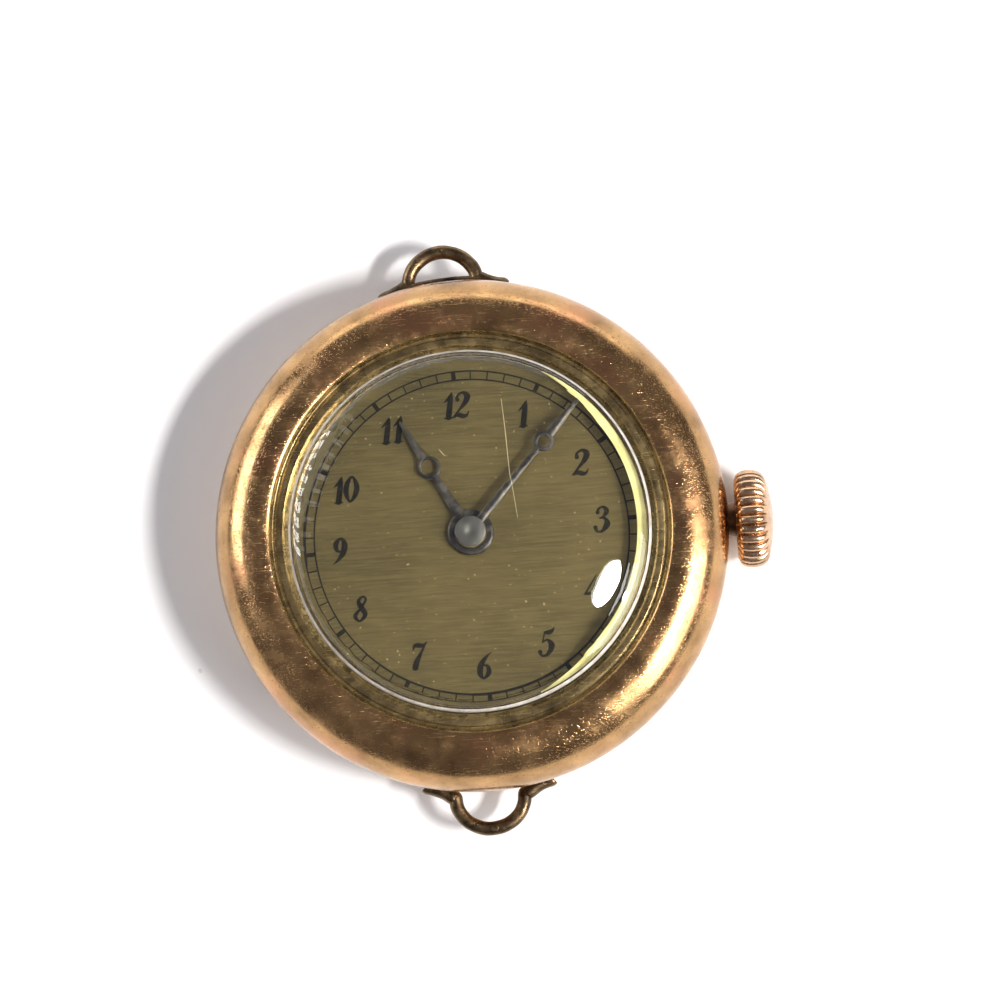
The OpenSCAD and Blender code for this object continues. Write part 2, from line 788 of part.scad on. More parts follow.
module clutch() {
    neck_x0 = 6.7;       // groove that the yoke's finger rides in
    neck_x1 = 7.3;
    neck_r = 0.75;
    hole_w = 0.62;
    color("#9a9da1")
    difference() {
        union() {
            along_x(clutch_x0 + face_tooth, neck_x0, clutch_r);
            along_x(neck_x0 - 0.01, neck_x1 + 0.01, neck_r);
            along_x(neck_x1, clutch_x1 - face_tooth, clutch_r);
            face_teeth(clutch_x0, clutch_x0 + face_tooth + 0.01, 0);
            face_teeth(clutch_x1 - face_tooth - 0.01, clutch_x1, 0);
        }
        translate([clutch_x0 - cut, -hole_w / 2, stem_z - hole_w / 2])
            cube([clutch_x1 - clutch_x0 + 2 * cut, hole_w, hole_w]);
    }
}

module winding_pinion() {
    color("#9a9da1")
    difference() {
        union() {
            translate([pinion_x0, 0, stem_z])
                rotate([0, 90, 0])
                    linear_extrude(pinion_x1 - pinion_x0)
                        teeth_outline(winding_teeth, winding_r, 0.09, 0.2, 0.3, 0.55);
            face_teeth(pinion_x0 - face_tooth, pinion_x0 + 0.01, 0.5);
        }
        along_x(pinion_x0 - cut, pinion_x1 + cut, 0.44);
    }
}

// ================= plates and bridges =================

module main_plate() {
    rim_r = 10.05;       // the plate is recessed inside this under the dial
    slot_half = 0.36;    // slots for the yoke's finger and the lever's pin
    post_z0 = plate_z0 + 0.5;
    difference() {
        color("#b9a565")
        union() {
            difference() {
                disc(movement_r, plate_z0, dial_z0);
                disc(rim_r, plate_z1, dial_z0 + cut);
            }
            for (p = pillars)
                at(p) disc((p == barrel_pillars[2]) ? slim_pillar_r : pillar_r,
                           bridge_z1, plate_z0 + 0.1);
            at(pallet_foot_at) disc(0.55, 2.85, plate_z0 + 0.1);
            // inner and outer bearings of the stem
            translate([bearing_x0, -0.45, 2.6])
                cube([0.55, 0.9, plate_z0 - 2.5]);
            translate([bearing_x1, -0.85, 2.35])
                cube([bearing_end - bearing_x1, 1.7, plate_z0 - 2.25]);
            // posts of the wheels and levers on the dial side
            at(minute_at) disc(minute_post_r, post_z0, dial_z0 - 0.04);
            at(minute_at) disc(2 * minute_post_r, post_z0, minute_wheel_z0 - 0.02);
            at(setting_at) disc(setting_post_r, post_z0, setting_z1 + 0.04);
            at(lever_at) disc(lever_post_r, post_z0, cover_z1 - fit);
            at(yoke_at) disc(lever_post_r, post_z0, keyless_z1 + 0.05);
            at(lever_spring_at) disc(0.6, post_z0, cover_z0 - 0.005);
        }
        // slots for the clutch, the winding pinion, the yoke's finger and the lever's pin
        translate([5.56, -clutch_r - 0.1, plate_z0 - cut])
            cube([2.1, 2 * clutch_r + 0.2, cut + 0.46]);
        translate([pinion_window[0], -pinion_window[2], plate_z0 - cut])
            cube([pinion_window[1], 2 * pinion_window[2], cut + 0.95]);
        translate([6.2, -slot_half, plate_z0 - cut])
            cube([1.2, 2 * slot_half, cut + 2]);
        translate([8.9, -slot_half, plate_z0 - cut])
            cube([1.2, 2 * slot_half, cut + 1.12]);
        along_x(bearing_x0 - 0.1, movement_r + 0.5, 0.24);
        along_x(bearing_x1 - 0.12, movement_r + 0.5, stem_r + play);
        // pocket of the setting wheel
        at(setting_at) ring(1.42, setting_post_r, setting_z0 - 0.05, dial_z0);
        // bores of the pivots
        disc(0.42, plate_z0 - cut, dial_z0 + cut);
        at(barrel_at) disc(barrel_pivot_r + play, plate_z0 - cut, 4.4);
        for (p = jewelled_at)
            at(p) disc(jewel_r + fit, plate_z0 - cut, plate_z0 + 0.8);
        // screw holes
        for (p = pillars)
            at(p) disc(screw_r + fit, bridge_z1 - cut, 3.5);
        at(pallet_foot_at) disc(screw_r + fit, 2.5, 3.6);
        for (p = case_screws_at)
            at(p) disc(case_screw_r + fit, plate_z0 - cut, plate_z0 + 0.9);
        for (p = dial_feet_at)
            at(p) disc(dial_foot_r + fit, plate_z0 - cut, 5);
        for (p = [yoke_spring_at, lever_spring_at])
            at(p) disc(screw_r + fit, plate_z0 + 0.25, 6);
    }
}

module bridge_plate(points) {
    intersection() {
        disc(bridge_r, bridge_z0, bridge_z1);
        translate([0, 0, bridge_z0 - cut])
            linear_extrude(bridge_z1 - bridge_z0 + 2 * cut)
                polygon(points);
    }
}

module barrel_bridge() {
    color("#c9b778")
    difference() {
        bridge_plate([[-4.7, 5.6], [-1.4, 1.7], [1.5, 1.1], [2.5, -1.2], [3.2, -2.9],
                      [12, -2.9], [12, 12], [-4.7, 12]]);
        at(barrel_at) disc(0.57, bridge_z0 - cut, bridge_z1 + cut);
        at(crown_wheel_at) ring(2.8, crown_ring_r + 0.01, bridge_z0 - cut, 1.6);
        at(crown_wheel_at) disc(screw_r + fit, bridge_z0 - cut, bridge_z1 + cut);
        // window of the winding pinion
        translate([pinion_window[0], -pinion_window[2], bridge_z0 - cut])
            cube([pinion_window[1], 2 * pinion_window[2], 3 * cut]);
        for (p = barrel_pillars)
            at(p) disc(screw_r + fit, bridge_z0 - cut, bridge_z1 + cut);
        at(click_at) disc(screw_r + fit, bridge_z0 - cut, bridge_z1 + cut);
        at(click_spring_foot) disc(small_screw_r + fit, bridge_z0 - cut, bridge_z1 + cut);
        // recess over the clutch
        translate([5.6, -0.6, bridge_z1 - 0.13])
            cube([2.2, 1.2, 1]);
        // room for the arm of the balance cock and its stud
        at(stud_at) disc(0.36, bridge_z0 - cut, bridge_z1 + cut);
    }
}

module train_bridge() {
    color("#c9b778")
    difference() {
        bridge_plate([[-12, 5.2], [-5, 5.2], [-1.65, 1.35], [1.2, 0.75], [1.9, -0.9],
                      [1, -12], [-12, -12]]);
        at(balance_at) disc(3.8, bridge_z0 - cut, bridge_z1 + cut);
        disc(0.3, bridge_z0 - cut, bridge_z1 + cut);
        for (p = train_at)
            at(p) disc(jewel_r + fit, bridge_z0 - cut, bridge_z1 + cut);
        for (p = train_pillars)
            at(p) disc(screw_r + fit, bridge_z0 - cut, bridge_z1 + cut);
    }
}

module balance_cock() {
    color("#c9b778")
    difference() {
        intersection() {
            disc(bridge_r, bridge_z0 - cut, bridge_z1 + cut);
            union() {
                at(balance_at) disc(1.32, bridge_z0, bridge_z1);
                at(balance_at) disc(0.69, regulator_z0, bridge_z1);
                link(balance_at, cock_pillars[0], 1.5, bridge_z0, bridge_z1);
                at(cock_pillars[0]) disc(1, bridge_z0, bridge_z1);
                link(balance_at, stud_at, 0.6, bridge_z0, bridge_z1);
            }
        }
        at(balance_at) disc(jewel_r + fit, bridge_z0 - cut, bridge_z1 + cut);
        at(stud_at) disc(stud_pin_r + fit, bridge_z0 - cut, bridge_z1 + cut);
        at(cock_pillars[0]) disc(screw_r + fit, bridge_z0 - cut, bridge_z1 + cut);
    }
}

module pallet_cock() {
    color("#c9b778")
    difference() {
        link(pallet_at, pallet_foot_at, 1.2, pallet_cock_z0, pallet_cock_z1);
        at(pallet_at) disc(jewel_hole_r, pallet_cock_z0 - cut, pallet_cock_z1 + cut);
        at(pallet_foot_at) disc(screw_r + fit, pallet_cock_z0 - cut, pallet_cock_z1 + cut);
        at(pallet_foot_at) disc(pallet_screw_head_r + fit, pallet_cock_z0 - cut,
                                pallet_cock_z0 + 0.1);
    }
}

module bridge_screws() {
    color("#5a6a8c") {
        for (p = pillars)
            at(p) screw_down(screw_head_r, bridge_z0 - 0.25, bridge_z0, screw_r, 3.3);
        at(pallet_foot_at) screw_down(pallet_screw_head_r, pallet_cock_z0 - 0.03,
                                      pallet_cock_z0 + 0.09, screw_r, 3.4);
        at(crown_wheel_at) screw_down(0.8, head_z0 - 0.02, winding_z0 - 0.145, screw_r,
                                      bridge_screw_tip_z);
        at(click_at) screw_down(screw_head_r, head_z0 + 0.04, winding_z0 - fit, screw_r,
                                bridge_screw_tip_z);
        at(click_spring_foot) screw_down(2 * small_screw_r, head_z0 + 0.08, winding_z0 + 0.04,
                                         small_screw_r, bridge_screw_tip_z);
    }
}

module jewel(z0, z1) {
    ring(jewel_r, jewel_hole_r, z0, z1);
}

module plate_jewels() {
    color("#b3123a")
    for (p = jewelled_at)
        at(p) jewel(plate_z0, plate_z0 + jewel_t);
}

module bridge_jewels() {
    color("#b3123a")
    for (p = concat(train_at, [balance_at]))
        at(p) jewel(bridge_z1 - jewel_t, bridge_z1);
    // cap jewel under the balance pivot
    color("#c43a5c")
    at(balance_at) disc(jewel_r, bridge_z0 + 0.1, bridge_z1 - jewel_t - fit);
}

// ================= balance and escapement =================

module regulator() {
    index_x = 0.85;      // where the arms start in the ring
    arm_t = 0.2;
    color("#8d9094")
    at(balance_at) {
        ring(1.0, 0.72, regulator_z0, bridge_z0 - fit);
        rotate(regulator_a) {
            translate([index_x, -0.14, regulator_z0])
                cube([1.05, 0.28, arm_t]);
            for (dr = [-0.1, 0.1])
                translate([curb_r + dr, 0, 0])
                    disc(0.04, regulator_z0 + arm_t / 2, spring_z1 + 0.03);
        }
        rotate(regulator_a + 150)
            translate([index_x, -arm_t / 2, regulator_z0])
                cube([1.6, arm_t, arm_t]);
    }
}

module hairspring_stud() {
    color("#8d9094")
    at(stud_at) disc(stud_pin_r, bridge_z0 - 0.1, spring_z1 + 0.05);
}

module hairspring() {
    color("#4a5f8f")
    at(balance_at) {
        rotate(stud_a)
            spiral(spring_r0, spring_r1, spring_turns, spring_t, spring_z0, spring_z1, 20);
        // end of the outer coil, bent out to the stud
        rotate(stud_a)
            translate([spring_r1 - 0.02, -spring_t / 2, spring_z0])
                cube([stud_r - stud_pin_r - 0.01 - spring_r1 + 0.02, spring_t,
                      spring_z1 - spring_z0]);
    }
}

module balance_wheel() {
    arm_r = 3.2;
    arm_w = 0.32;
    arm_z0 = 2.33;
    arm_z1 = 2.49;
    color("#c7a34e")
    at(balance_at)
        difference() {
            union() {
                ring(balance_r, 3.05, 2.13, 2.5);
                for (a = [40, 130])
                    rotate(a)
                        translate([-arm_r, -arm_w / 2, arm_z0])
                            cube([2 * arm_r, arm_w, arm_z1 - arm_z0]);
                disc(0.6, arm_z0, arm_z1);
            }
            disc(0.27, arm_z0 - cut, arm_z1 + cut);
        }
}

module balance_screws() {
    count = 12;
    color("#d9bf74")
    at(balance_at)
        for (i = [0:count - 1])
            rotate(i * 360 / count + 25)
                translate([balance_r + 0.01, 0, 2.315])
                    rotate([0, 90, 0])
                        cylinder(r = 0.15, h = 0.17, $fn = 32);
}

module balance_staff() {
    color("#9a9da1")
    at(balance_at) {
        arbor(arbor_z0, arbor_z1, 0.17);
        disc(0.25, 2.2, 2.6);
        disc(0.36, 2.03, 2.19);
    }
}

module roller() {
    pin_z1 = 2.85;
    color("#9a9da1")
    at(balance_at) {
        ring(0.88, 0.19, 2.63, 2.74);
        rotate(lever_a)
            translate([0.7, 0, 0])
                disc(0.09, 2.73, pin_z1);
    }
}

function pallet_spot(side) =
    let (a = dir(escape_at, pallet_at) + side * pallet_span)
    escape_at + (escape_r + stone_gap + 0.27) * [cos(a), sin(a)];

module pallet_fork() {
    fork_tip = pallet_at + (lever_c - 0.55) * [cos(lever_a - 180), sin(lever_a - 180)];
    color("#9a9da1") {
        difference() {
            union() {
                link(pallet_at, fork_tip, 0.24, fork_z0, fork_z1);
                at(fork_tip)
                    rotate(lever_a - 180)
                        translate([-0.25, -0.27, fork_z0])
                            cube([0.45, 0.54, fork_z1 - fork_z0]);
                for (side = [-1, 1])
                    link(pallet_at, pallet_spot(side), 0.26, fork_z0, fork_z1);
                at(pallet_at) disc(0.34, fork_z0, fork_z1);
            }
            at(fork_tip)
                rotate(lever_a - 180)
                    translate([-0.06, -0.13, fork_z0 - cut])
                        cube([1, 0.26, 3]);
            for (side = [-1, 1])
                at(pallet_spot(side))
                    rotate(dir(escape_at, pallet_at) + side * pallet_span)
                        translate([-0.28, -0.085, fork_z0 + 0.03])
                            cube([0.45, 0.17, 1]);
        }
        at(pallet_at) arbor(fork_z0 - 0.02, arbor_z1, 0.14, 0.24, 0.28);
    }
}

module pallet_stones() {
    color("#b3123a")
    for (side = [-1, 1])
        at(pallet_spot(side))
            rotate(dir(escape_at, pallet_at) + side * pallet_span)
                translate([-0.27, -0.08, fork_z0 + 0.04])
                    cube([0.42, 0.16, 0.14]);
}

module escape_wheel() {
    step = 360 / escape_teeth;
    root_r = escape_r - 0.45;
    rim_r = root_r - 0.2;
    hub_r = 0.4;
    spoke_w = 0.18;
    z0 = 2.9;
    z1 = 3.04;
    // one club tooth, leaning forward: [radius, angle] from root to root
    tooth = [[root_r, 0.06], [escape_r - 0.12, 0.34], [escape_r, 0.32], [escape_r, 0.62],
             [escape_r - 0.12, 0.6], [root_r, 0.62]];
    color("#c7a34e")
    at(escape_at)
        difference() {
            translate([0, 0, z0])
                linear_extrude(z1 - z0)
                    polygon([for (i = [0:escape_teeth - 1], p = tooth)
                        let (a = (i + p[1]) * step) p[0] * [cos(a), sin(a)]]);
            difference() {
                ring(rim_r, hub_r, z0 - cut, z1 + cut);
                for (i = [0:3])
                    rotate(i * 90)
                        translate([0, -spoke_w / 2, z0 - 2 * cut])
                            cube([rim_r + cut, spoke_w, z1 - z0 + 4 * cut]);
            }
            disc(0.17, z0 - cut, z1 + cut);
        }
}

module escape_pinion() {
    color("#9a9da1")
    at(escape_at)
        rotate(escape_turn) {
            arbor(arbor_z0, arbor_z1, 0.15);
            pinion_teeth(escape_leaves, fourth_m, 3.15, 3.62);
        }
}

// ================= going train =================

module fourth_wheel() {
    color("#c7a34e")
    at(fourth_at)
        rotate(fourth_turn)
            train_wheel(train_teeth, fourth_m, 3.3, 3.44, 0.22, 0.6);
}

module fourth_pinion() {
    color("#9a9da1")
    at(fourth_at)
        rotate(fourth_turn) {
            arbor(arbor_z0, arbor_z1, 0.2);
            pinion_teeth(train_leaves, third_m, 2.36, 2.84);
        }
}

module third_wheel() {
    color("#c7a34e")
    at(third_at)
        rotate(third_turn)
            train_wheel(train_teeth, third_m, 2.5, 2.66, 0.24, 0.65);
}

module third_pinion() {
    color("#9a9da1")
    at(third_at)
        rotate(third_turn) {
            arbor(arbor_z0, arbor_z1, 0.22);
            pinion_teeth(train_leaves, centre_m, 3.47, 3.71);
        }
}

module centre_wheel() {
    color("#c7a34e")
    train_wheel(centre_teeth, centre_m, 3.5, 3.68, 0.37, 0.9, 4, 0.4);
}

module centre_pinion() {
    color("#9a9da1") {
        disc(0.27, bridge_z0 + 0.2, arbor_z0 + 0.02);
        disc(0.35, arbor_z0, plate_z0 - 0.02);
        pinion_teeth(centre_leaves, barrel_m, 2, 2.5);
        disc(centre_post_r, plate_z0 - 0.1, cannon_z1 - 0.25);
    }
}

// ================= barrel and winding =================

module barrel_drum() {
    color("#c7a34e")
    at(barrel_at)
        rotate(barrel_turn)
            difference() {
                union() {
                    wheel_teeth(barrel_teeth, barrel_m, barrel_z0, drum_floor_z);
                    disc(4.15, barrel_z0, barrel_z1);
                }
                disc(drum_bore_r, drum_floor_z, barrel_z1 + cut);
                disc(barrel_hole_r, barrel_z0 - cut, barrel_z1);
            }
}

module barrel_cover() {
    color("#c7a34e")
    at(barrel_at) ring(drum_bore_r - fit, barrel_hole_r, barrel_z1 - 0.2, barrel_z1 - 0.01);
}

module barrel_arbor() {
    square_w = 0.72;
    color("#9a9da1")
    at(barrel_at) {
        disc(barrel_pivot_r, 3.12, 4.3);
        disc(0.85, drum_floor_z + 0.06, 3.16);
        disc(barrel_hole_r - fit, bridge_z0 + fit, 2.5);
        translate([-square_w / 2, -square_w / 2, winding_z0 + 0.02])
            cube([square_w, square_w, 0.5]);
    }
}

module mainspring() {
    color("#6f7377")
    at(barrel_at)
        spiral(0.98, drum_bore_r - 0.12, 7, 0.16, drum_floor_z + 0.08, 3.14, 24);
}

module ratchet_wheel() {
    square_w = 0.76;
    m = 2 * ratchet_r / ratchet_teeth;
    color("#9a9da1")
    at(barrel_at)
        rotate(ratchet_turn)
            difference() {
                wheel_teeth(ratchet_teeth, m, winding_z0, bridge_z0 - play);
                rotate(-ratchet_turn)
                    translate([-square_w / 2, -square_w / 2, 0])
                        cube([square_w, square_w, 2]);
            }
}

module crown_wheel() {
    m = 2 * crown_wheel_r / crown_wheel_teeth;
    color("#9a9da1")
    at(crown_wheel_at)
        rotate(crown_wheel_turn)
            difference() {
                wheel_teeth(crown_wheel_teeth, m, winding_z0, 1.56);
                disc(crown_ring_r + 0.05, 0, 2);
            }
}

// fixed ring that the crown wheel turns on
module crown_wheel_ring() {
    color("#8d9094")
    at(crown_wheel_at)
        difference() {
            union() {
                disc(crown_ring_r, winding_z0 - 0.04, bridge_z0 - 0.005);
                disc(1.45, winding_z0 - 0.14, winding_z0 - 0.03);
            }
            disc(screw_r + fit, 0, 2);
        }
}

module ratchet_screw() {
    color("#5a6a8c")
    at(barrel_at) screw_down(0.9, head_z0, winding_z0 - 0.01, 0.2, winding_z0 + 0.01);
}

module click() {
    beak = barrel_at + (ratchet_r + 0.2) * [cos(147), sin(147)];
    u = (beak - click_at) / norm(beak - click_at);
    v = [-u.y, u.x];
    color("#9a9da1")
    difference() {
        union() {
            at(click_at) disc(0.62, winding_z0, bridge_z0 - play);
            translate([click_at.x, click_at.y, winding_z0])
                linear_extrude(bridge_z0 - play - winding_z0)
                    polygon([0.6 * v, u * norm(beak - click_at), -0.45 * v]);
            link(click_at, click_at + click_tail, 0.4, winding_z0, bridge_z0 - play);
        }
        at(click_at) disc(screw_r + play, 0, 2);
    }
}

module click_spring() {
    color("#8d9094")
    difference() {
        union() {
            at(click_spring_foot) disc(0.38, 0.85, bridge_z0 - 0.005);
            link(click_spring_foot, click_spring_tip, 0.1, 0.87, 1.12);
        }
        at(click_spring_foot) disc(small_screw_r + fit, 0, 2);
    }
}

// ================= drawing =================
bezel();
crystal();
case_middle();
back_cover();
loop_12();
loop_6();
crown_tube();
crown();
stem();
movement_ring();
case_screws();
dial();
hour_hand();
minute_hand();
cannon_pinion();
hour_wheel();
minute_wheel();
setting_wheel();
setting_lever();
setting_lever_spring();
yoke();
yoke_spring();
keyless_screws();
clutch();
winding_pinion();
main_plate();
barrel_bridge();
train_bridge();
balance_cock();
pallet_cock();
bridge_screws();
plate_jewels();
bridge_jewels();
regulator();
hairspring_stud();
hairspring();
balance_wheel();
balance_screws();
balance_staff();
roller();
pallet_fork();
pallet_stones();
escape_wheel();
escape_pinion();
fourth_wheel();
fourth_pinion();
third_wheel();
third_pinion();
centre_wheel();
centre_pinion();
barrel_drum();
barrel_cover();
barrel_arbor();
mainspring();
ratchet_wheel();
ratchet_screw();
crown_wheel();
crown_wheel_ring();
click();
click_spring();
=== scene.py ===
import math
import random

import bmesh
import bpy
from mathutils import Matrix, Vector, noise


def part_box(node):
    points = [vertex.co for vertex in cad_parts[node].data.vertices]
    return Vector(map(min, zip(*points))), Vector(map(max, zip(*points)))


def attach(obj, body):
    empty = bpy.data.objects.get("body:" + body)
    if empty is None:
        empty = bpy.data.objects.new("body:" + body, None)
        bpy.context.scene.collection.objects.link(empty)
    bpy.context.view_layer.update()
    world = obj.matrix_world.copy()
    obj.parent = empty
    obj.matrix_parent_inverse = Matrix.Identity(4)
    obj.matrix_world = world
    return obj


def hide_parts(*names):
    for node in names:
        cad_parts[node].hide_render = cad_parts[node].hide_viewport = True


# The looks of the watch. Everything is in metres in the frame of the CAD model; the outlines
# below are written in millimetres, and MM turns them into metres.

MM = 0.001
SEED = 7

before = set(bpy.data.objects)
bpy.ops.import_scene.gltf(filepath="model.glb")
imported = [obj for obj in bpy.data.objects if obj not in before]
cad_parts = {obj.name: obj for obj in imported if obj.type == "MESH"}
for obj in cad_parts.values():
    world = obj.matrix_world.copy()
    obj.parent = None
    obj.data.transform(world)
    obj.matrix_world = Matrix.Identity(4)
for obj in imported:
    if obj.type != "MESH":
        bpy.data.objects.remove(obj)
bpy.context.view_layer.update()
random.seed(SEED)
noise.seed_set(SEED)

# ---- sizes of the CAD model that the visible pieces follow, in millimetres ----
CASE_R = 14.03
CREST_R = 11.5
CREST_Z = 7.3
WIDE_Z = 4.6
BEZEL_FOOT_Z = 3.45
LIP_R = 10.84
STEP_Z = 6.8
GROOVE_R = 10.12
GROOVE_Z = 6.4
SEAT_R = 9.9
FLANGE_Z = 5.95
SNAP_R = 12.95
SNAP_Z1 = 5.05
BAND_BORE_R = 12.2
BAND_R = 13.72
BAND_LOW_R = 13.5
STEM_Z = 3.0
TUBE_R = 0.92
CRYSTAL_R = 9.85
CRYSTAL_Z0 = 6.0
SHOULDER_Z = 7.35
CRYSTAL_TOP_Z = 9.8
CRYSTAL_T = 0.7
DOME_R = CRYSTAL_R - 0.62      # the dome starts inside the crystal's rounded shoulder
DOME_Z = SHOULDER_Z + 0.62
DIAL_R = 10.2
DIAL_HOLE_R = 0.95
DIAL_Z0 = 5.5
DIAL_Z1 = 5.8
LOOP_Z = 2.62
LOOP_REACH = 16.35
LOOP_12_SKEW = 3.2
WIRE_R = 0.38
ARCH_R = 1.91
FOOT_R = 13.68
FOOT_TALL = 0.4        # half height of a loop's foot and of the strap between its feet
THUMB_LIP_A = 204.8
DIAL_TURN = 2.8        # the dial sits turned in the case
MINUTE_A = 44.4 + DIAL_TURN
HOUR_A = 116.2 + DIAL_TURN


# ================= mesh helpers =================

def new_piece(name, bm, material, body, replaces=(), sharp=32):
    """Turns bm, in millimetres, into a piece that rides on a CAD body."""
    bmesh.ops.scale(bm, vec=(MM, MM, MM), verts=bm.verts)
    bmesh.ops.recalc_face_normals(bm, faces=bm.faces)
    mesh = bpy.data.meshes.new(name)
    bm.to_mesh(mesh)
    bm.free()
    mesh.shade_smooth()
    mesh.set_sharp_from_angle(angle=math.radians(sharp))
    obj = bpy.data.objects.new(name, mesh)
    bpy.context.scene.collection.objects.link(obj)
    obj.data.materials.append(material)
    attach(obj, body)
    if replaces:
        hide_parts(*replaces)
    return obj


def join_rows(bm, a, b, closed=True):
    """Band of faces between two rows of vertices; closed joins their ends too."""
    n = len(a)
    for j in range(n if closed else n - 1):
        k = (j + 1) % n
        bm.faces.new((a[j], a[k], b[k], b[j]))


def add_loops(bm, rings, closed=True, wrap=True):
    """Skins a list of rings of points; wrap joins the last ring to the first."""
    rows = [[bm.verts.new(p) for p in ring] for ring in rings]
    for i in range(len(rows) if wrap else len(rows) - 1):
        join_rows(bm, rows[i], rows[(i + 1) % len(rows)], closed)
    return rows


def add_rod(bm, rings):
    """Skins rings of points from one end to the other, and closes both ends."""
    rows = add_loops(bm, rings, wrap=False)
    bm.faces.new(rows[0])
    bm.faces.new(list(reversed(rows[-1])))


def add_fan(bm, ring, centre):
    """Closes a ring of vertices with triangles that meet at a point."""
    pole = bm.verts.new(centre)
    for i, vert in enumerate(ring):
        bm.faces.new((vert, ring[(i + 1) % len(ring)], pole))


def turned(profile, segments, axis="Z", centre=(0, 0, 0)):
    """Copies of a row of (radius, height) points, turned round an axis."""
    rings = []
    for i in range(segments):
        a = math.tau * i / segments
        c, s = math.cos(a), math.sin(a)
        ring = []
        for r, h in profile:
            p = (r * c, r * s, h) if axis == "Z" else (h, r * c, r * s)
            ring.append(Vector(p) + Vector(centre))
        rings.append(ring)
    return rings


def lathe(bm, outline, segments, axis="Z", centre=(0, 0, 0)):
    """Ring from a closed outline of (radius, height) points."""
    add_loops(bm, turned(outline, segments, axis, centre))
    bmesh.ops.remove_doubles(bm, verts=bm.verts, dist=1e-5)


def rounded(points, radius, steps=4):
    """Rounds the corners of a closed outline; radius is one number or one for each corner."""
    out = []
    n = len(points)
    for i, p in enumerate(points):
        p = Vector(p)
        before, after = Vector(points[i - 1]), Vector(points[(i + 1) % n])
        size = radius[i] if isinstance(radius, (list, tuple)) else radius
        u, v = before - p, after - p
        size = min(size, u.length * 0.45, v.length * 0.45)
        if size < 1e-4:
            out.append(tuple(p))
            continue
        a, b = p + u.normalized() * size, p + v.normalized() * size
        for k in range(steps + 1):
            t = k / steps
            q = a * (1 - t) ** 2 + p * 2 * t * (1 - t) + b * t ** 2
            out.append(tuple(q))
    return out


def smooth_line(points, steps=6, closed=False):
    """Catmull-Rom curve through points of any size."""
    n = len(points)
    vs = [Vector(p) for p in points]
    out = []
    for i in range(n if closed else n - 1):
        if closed:
            a, b, c, d = (vs[(i + k) % n] for k in (-1, 0, 1, 2))
        else:
            a, b, c, d = (vs[min(max(i + k, 0), n - 1)] for k in (-1, 0, 1, 2))
        for k in range(steps):
            t = k / steps
            out.append(0.5 * ((2 * b) + (c - a) * t + (2 * a - 5 * b + 4 * c - d) * t ** 2
                              + (3 * b - a - 3 * c + d) * t ** 3))
    if not closed:
        out.append(vs[-1])
    return out


def slab(bm, outline, z0, z1, bevel=0.0):
    """Flat piece from a closed outline that may be concave, with a small chamfer on top."""
    rows = add_loops(bm, [[(x, y, z) for x, y in outline] for z in (z0, z1 - bevel)], wrap=False)
    top = bm.faces.new(rows[1])
    bm.faces.new(list(reversed(rows[0])))
    if bevel:
        bmesh.ops.inset_region(bm, faces=[top], thickness=bevel * 0.8, depth=0)
        for v in top.verts:
            v.co.z = z1


def turn_shape(bm, degrees):
    """Turns all that is in bm about the watch's axis."""
    bmesh.ops.rotate(bm, verts=bm.verts, matrix=Matrix.Rotation(math.radians(degrees), 3, "Z"))


def dented(bm, size, pitch, keep=None):
    """Moves the points a little, as years of knocks do; pitch is the width of a dent."""
    for v in bm.verts:
        if keep and not keep(v.co):
            continue
        shift = noise.noise_vector(v.co / pitch + Vector((SEED, 0, 0)))
        v.co += shift * size


# ================= materials =================

def start_material(name):
    mat = bpy.data.materials.new(name)
    mat.use_nodes = True
    tree = mat.node_tree
    shader = tree.nodes["Principled BSDF"]
    coords = tree.nodes.new("ShaderNodeTexCoord").outputs["Object"]
    return mat, tree, shader, coords


def mapped(tree, vector, scale, turn=(0, 0, 0), shift=(0, 0, 0)):
    node = tree.nodes.new("ShaderNodeMapping")
    tree.links.new(vector, node.inputs["Vector"])
    node.inputs["Scale"].default_value = scale
    node.inputs["Rotation"].default_value = turn
    node.inputs["Location"].default_value = shift
    return node.outputs["Vector"]


def noisy(tree, vector, pitch_mm, detail=4, roughness=0.55):
    """Noise whose features are about pitch_mm wide."""
    node = tree.nodes.new("ShaderNodeTexNoise")
    tree.links.new(vector, node.inputs["Vector"])
    node.inputs["Scale"].default_value = 1 / (pitch_mm * MM)
    node.inputs["Detail"].default_value = detail
    node.inputs["Roughness"].default_value = roughness
    return node.outputs["Fac"]


def spread(tree, value, low, high, to_low=0.0, to_high=1.0):
    node = tree.nodes.new("ShaderNodeMapRange")
    tree.links.new(value, node.inputs["Value"])
    node.inputs["From Min"].default_value = low
    node.inputs["From Max"].default_value = high
    node.inputs["To Min"].default_value = to_low
    node.inputs["To Max"].default_value = to_high
    return node.outputs["Result"]


def math_node(tree, how, a, b=0.5):
    node = tree.nodes.new("ShaderNodeMath")
    node.operation = how
    for socket, value in zip(node.inputs, (a, b)):
        if isinstance(value, (int, float)):
            socket.default_value = value
        else:
            tree.links.new(value, socket)
    return node.outputs["Value"]


def mixed(tree, share, a, b):
    node = tree.nodes.new("ShaderNodeMix")
    node.data_type = "RGBA"
    tree.links.new(share, node.inputs["Factor"])
    for socket, value in ((node.inputs[6], a), (node.inputs[7], b)):
        if isinstance(value, tuple):
            socket.default_value = (*value, 1)
        else:
            tree.links.new(value, socket)
    return node.outputs[2]


def bump(tree, shader, height, depth_mm):
    node = tree.nodes.new("ShaderNodeBump")
    node.inputs["Strength"].default_value = 1.0
    node.inputs["Distance"].default_value = depth_mm * MM
    tree.links.new(height, node.inputs["Height"])
    tree.links.new(node.outputs["Normal"], shader.inputs["Normal"])


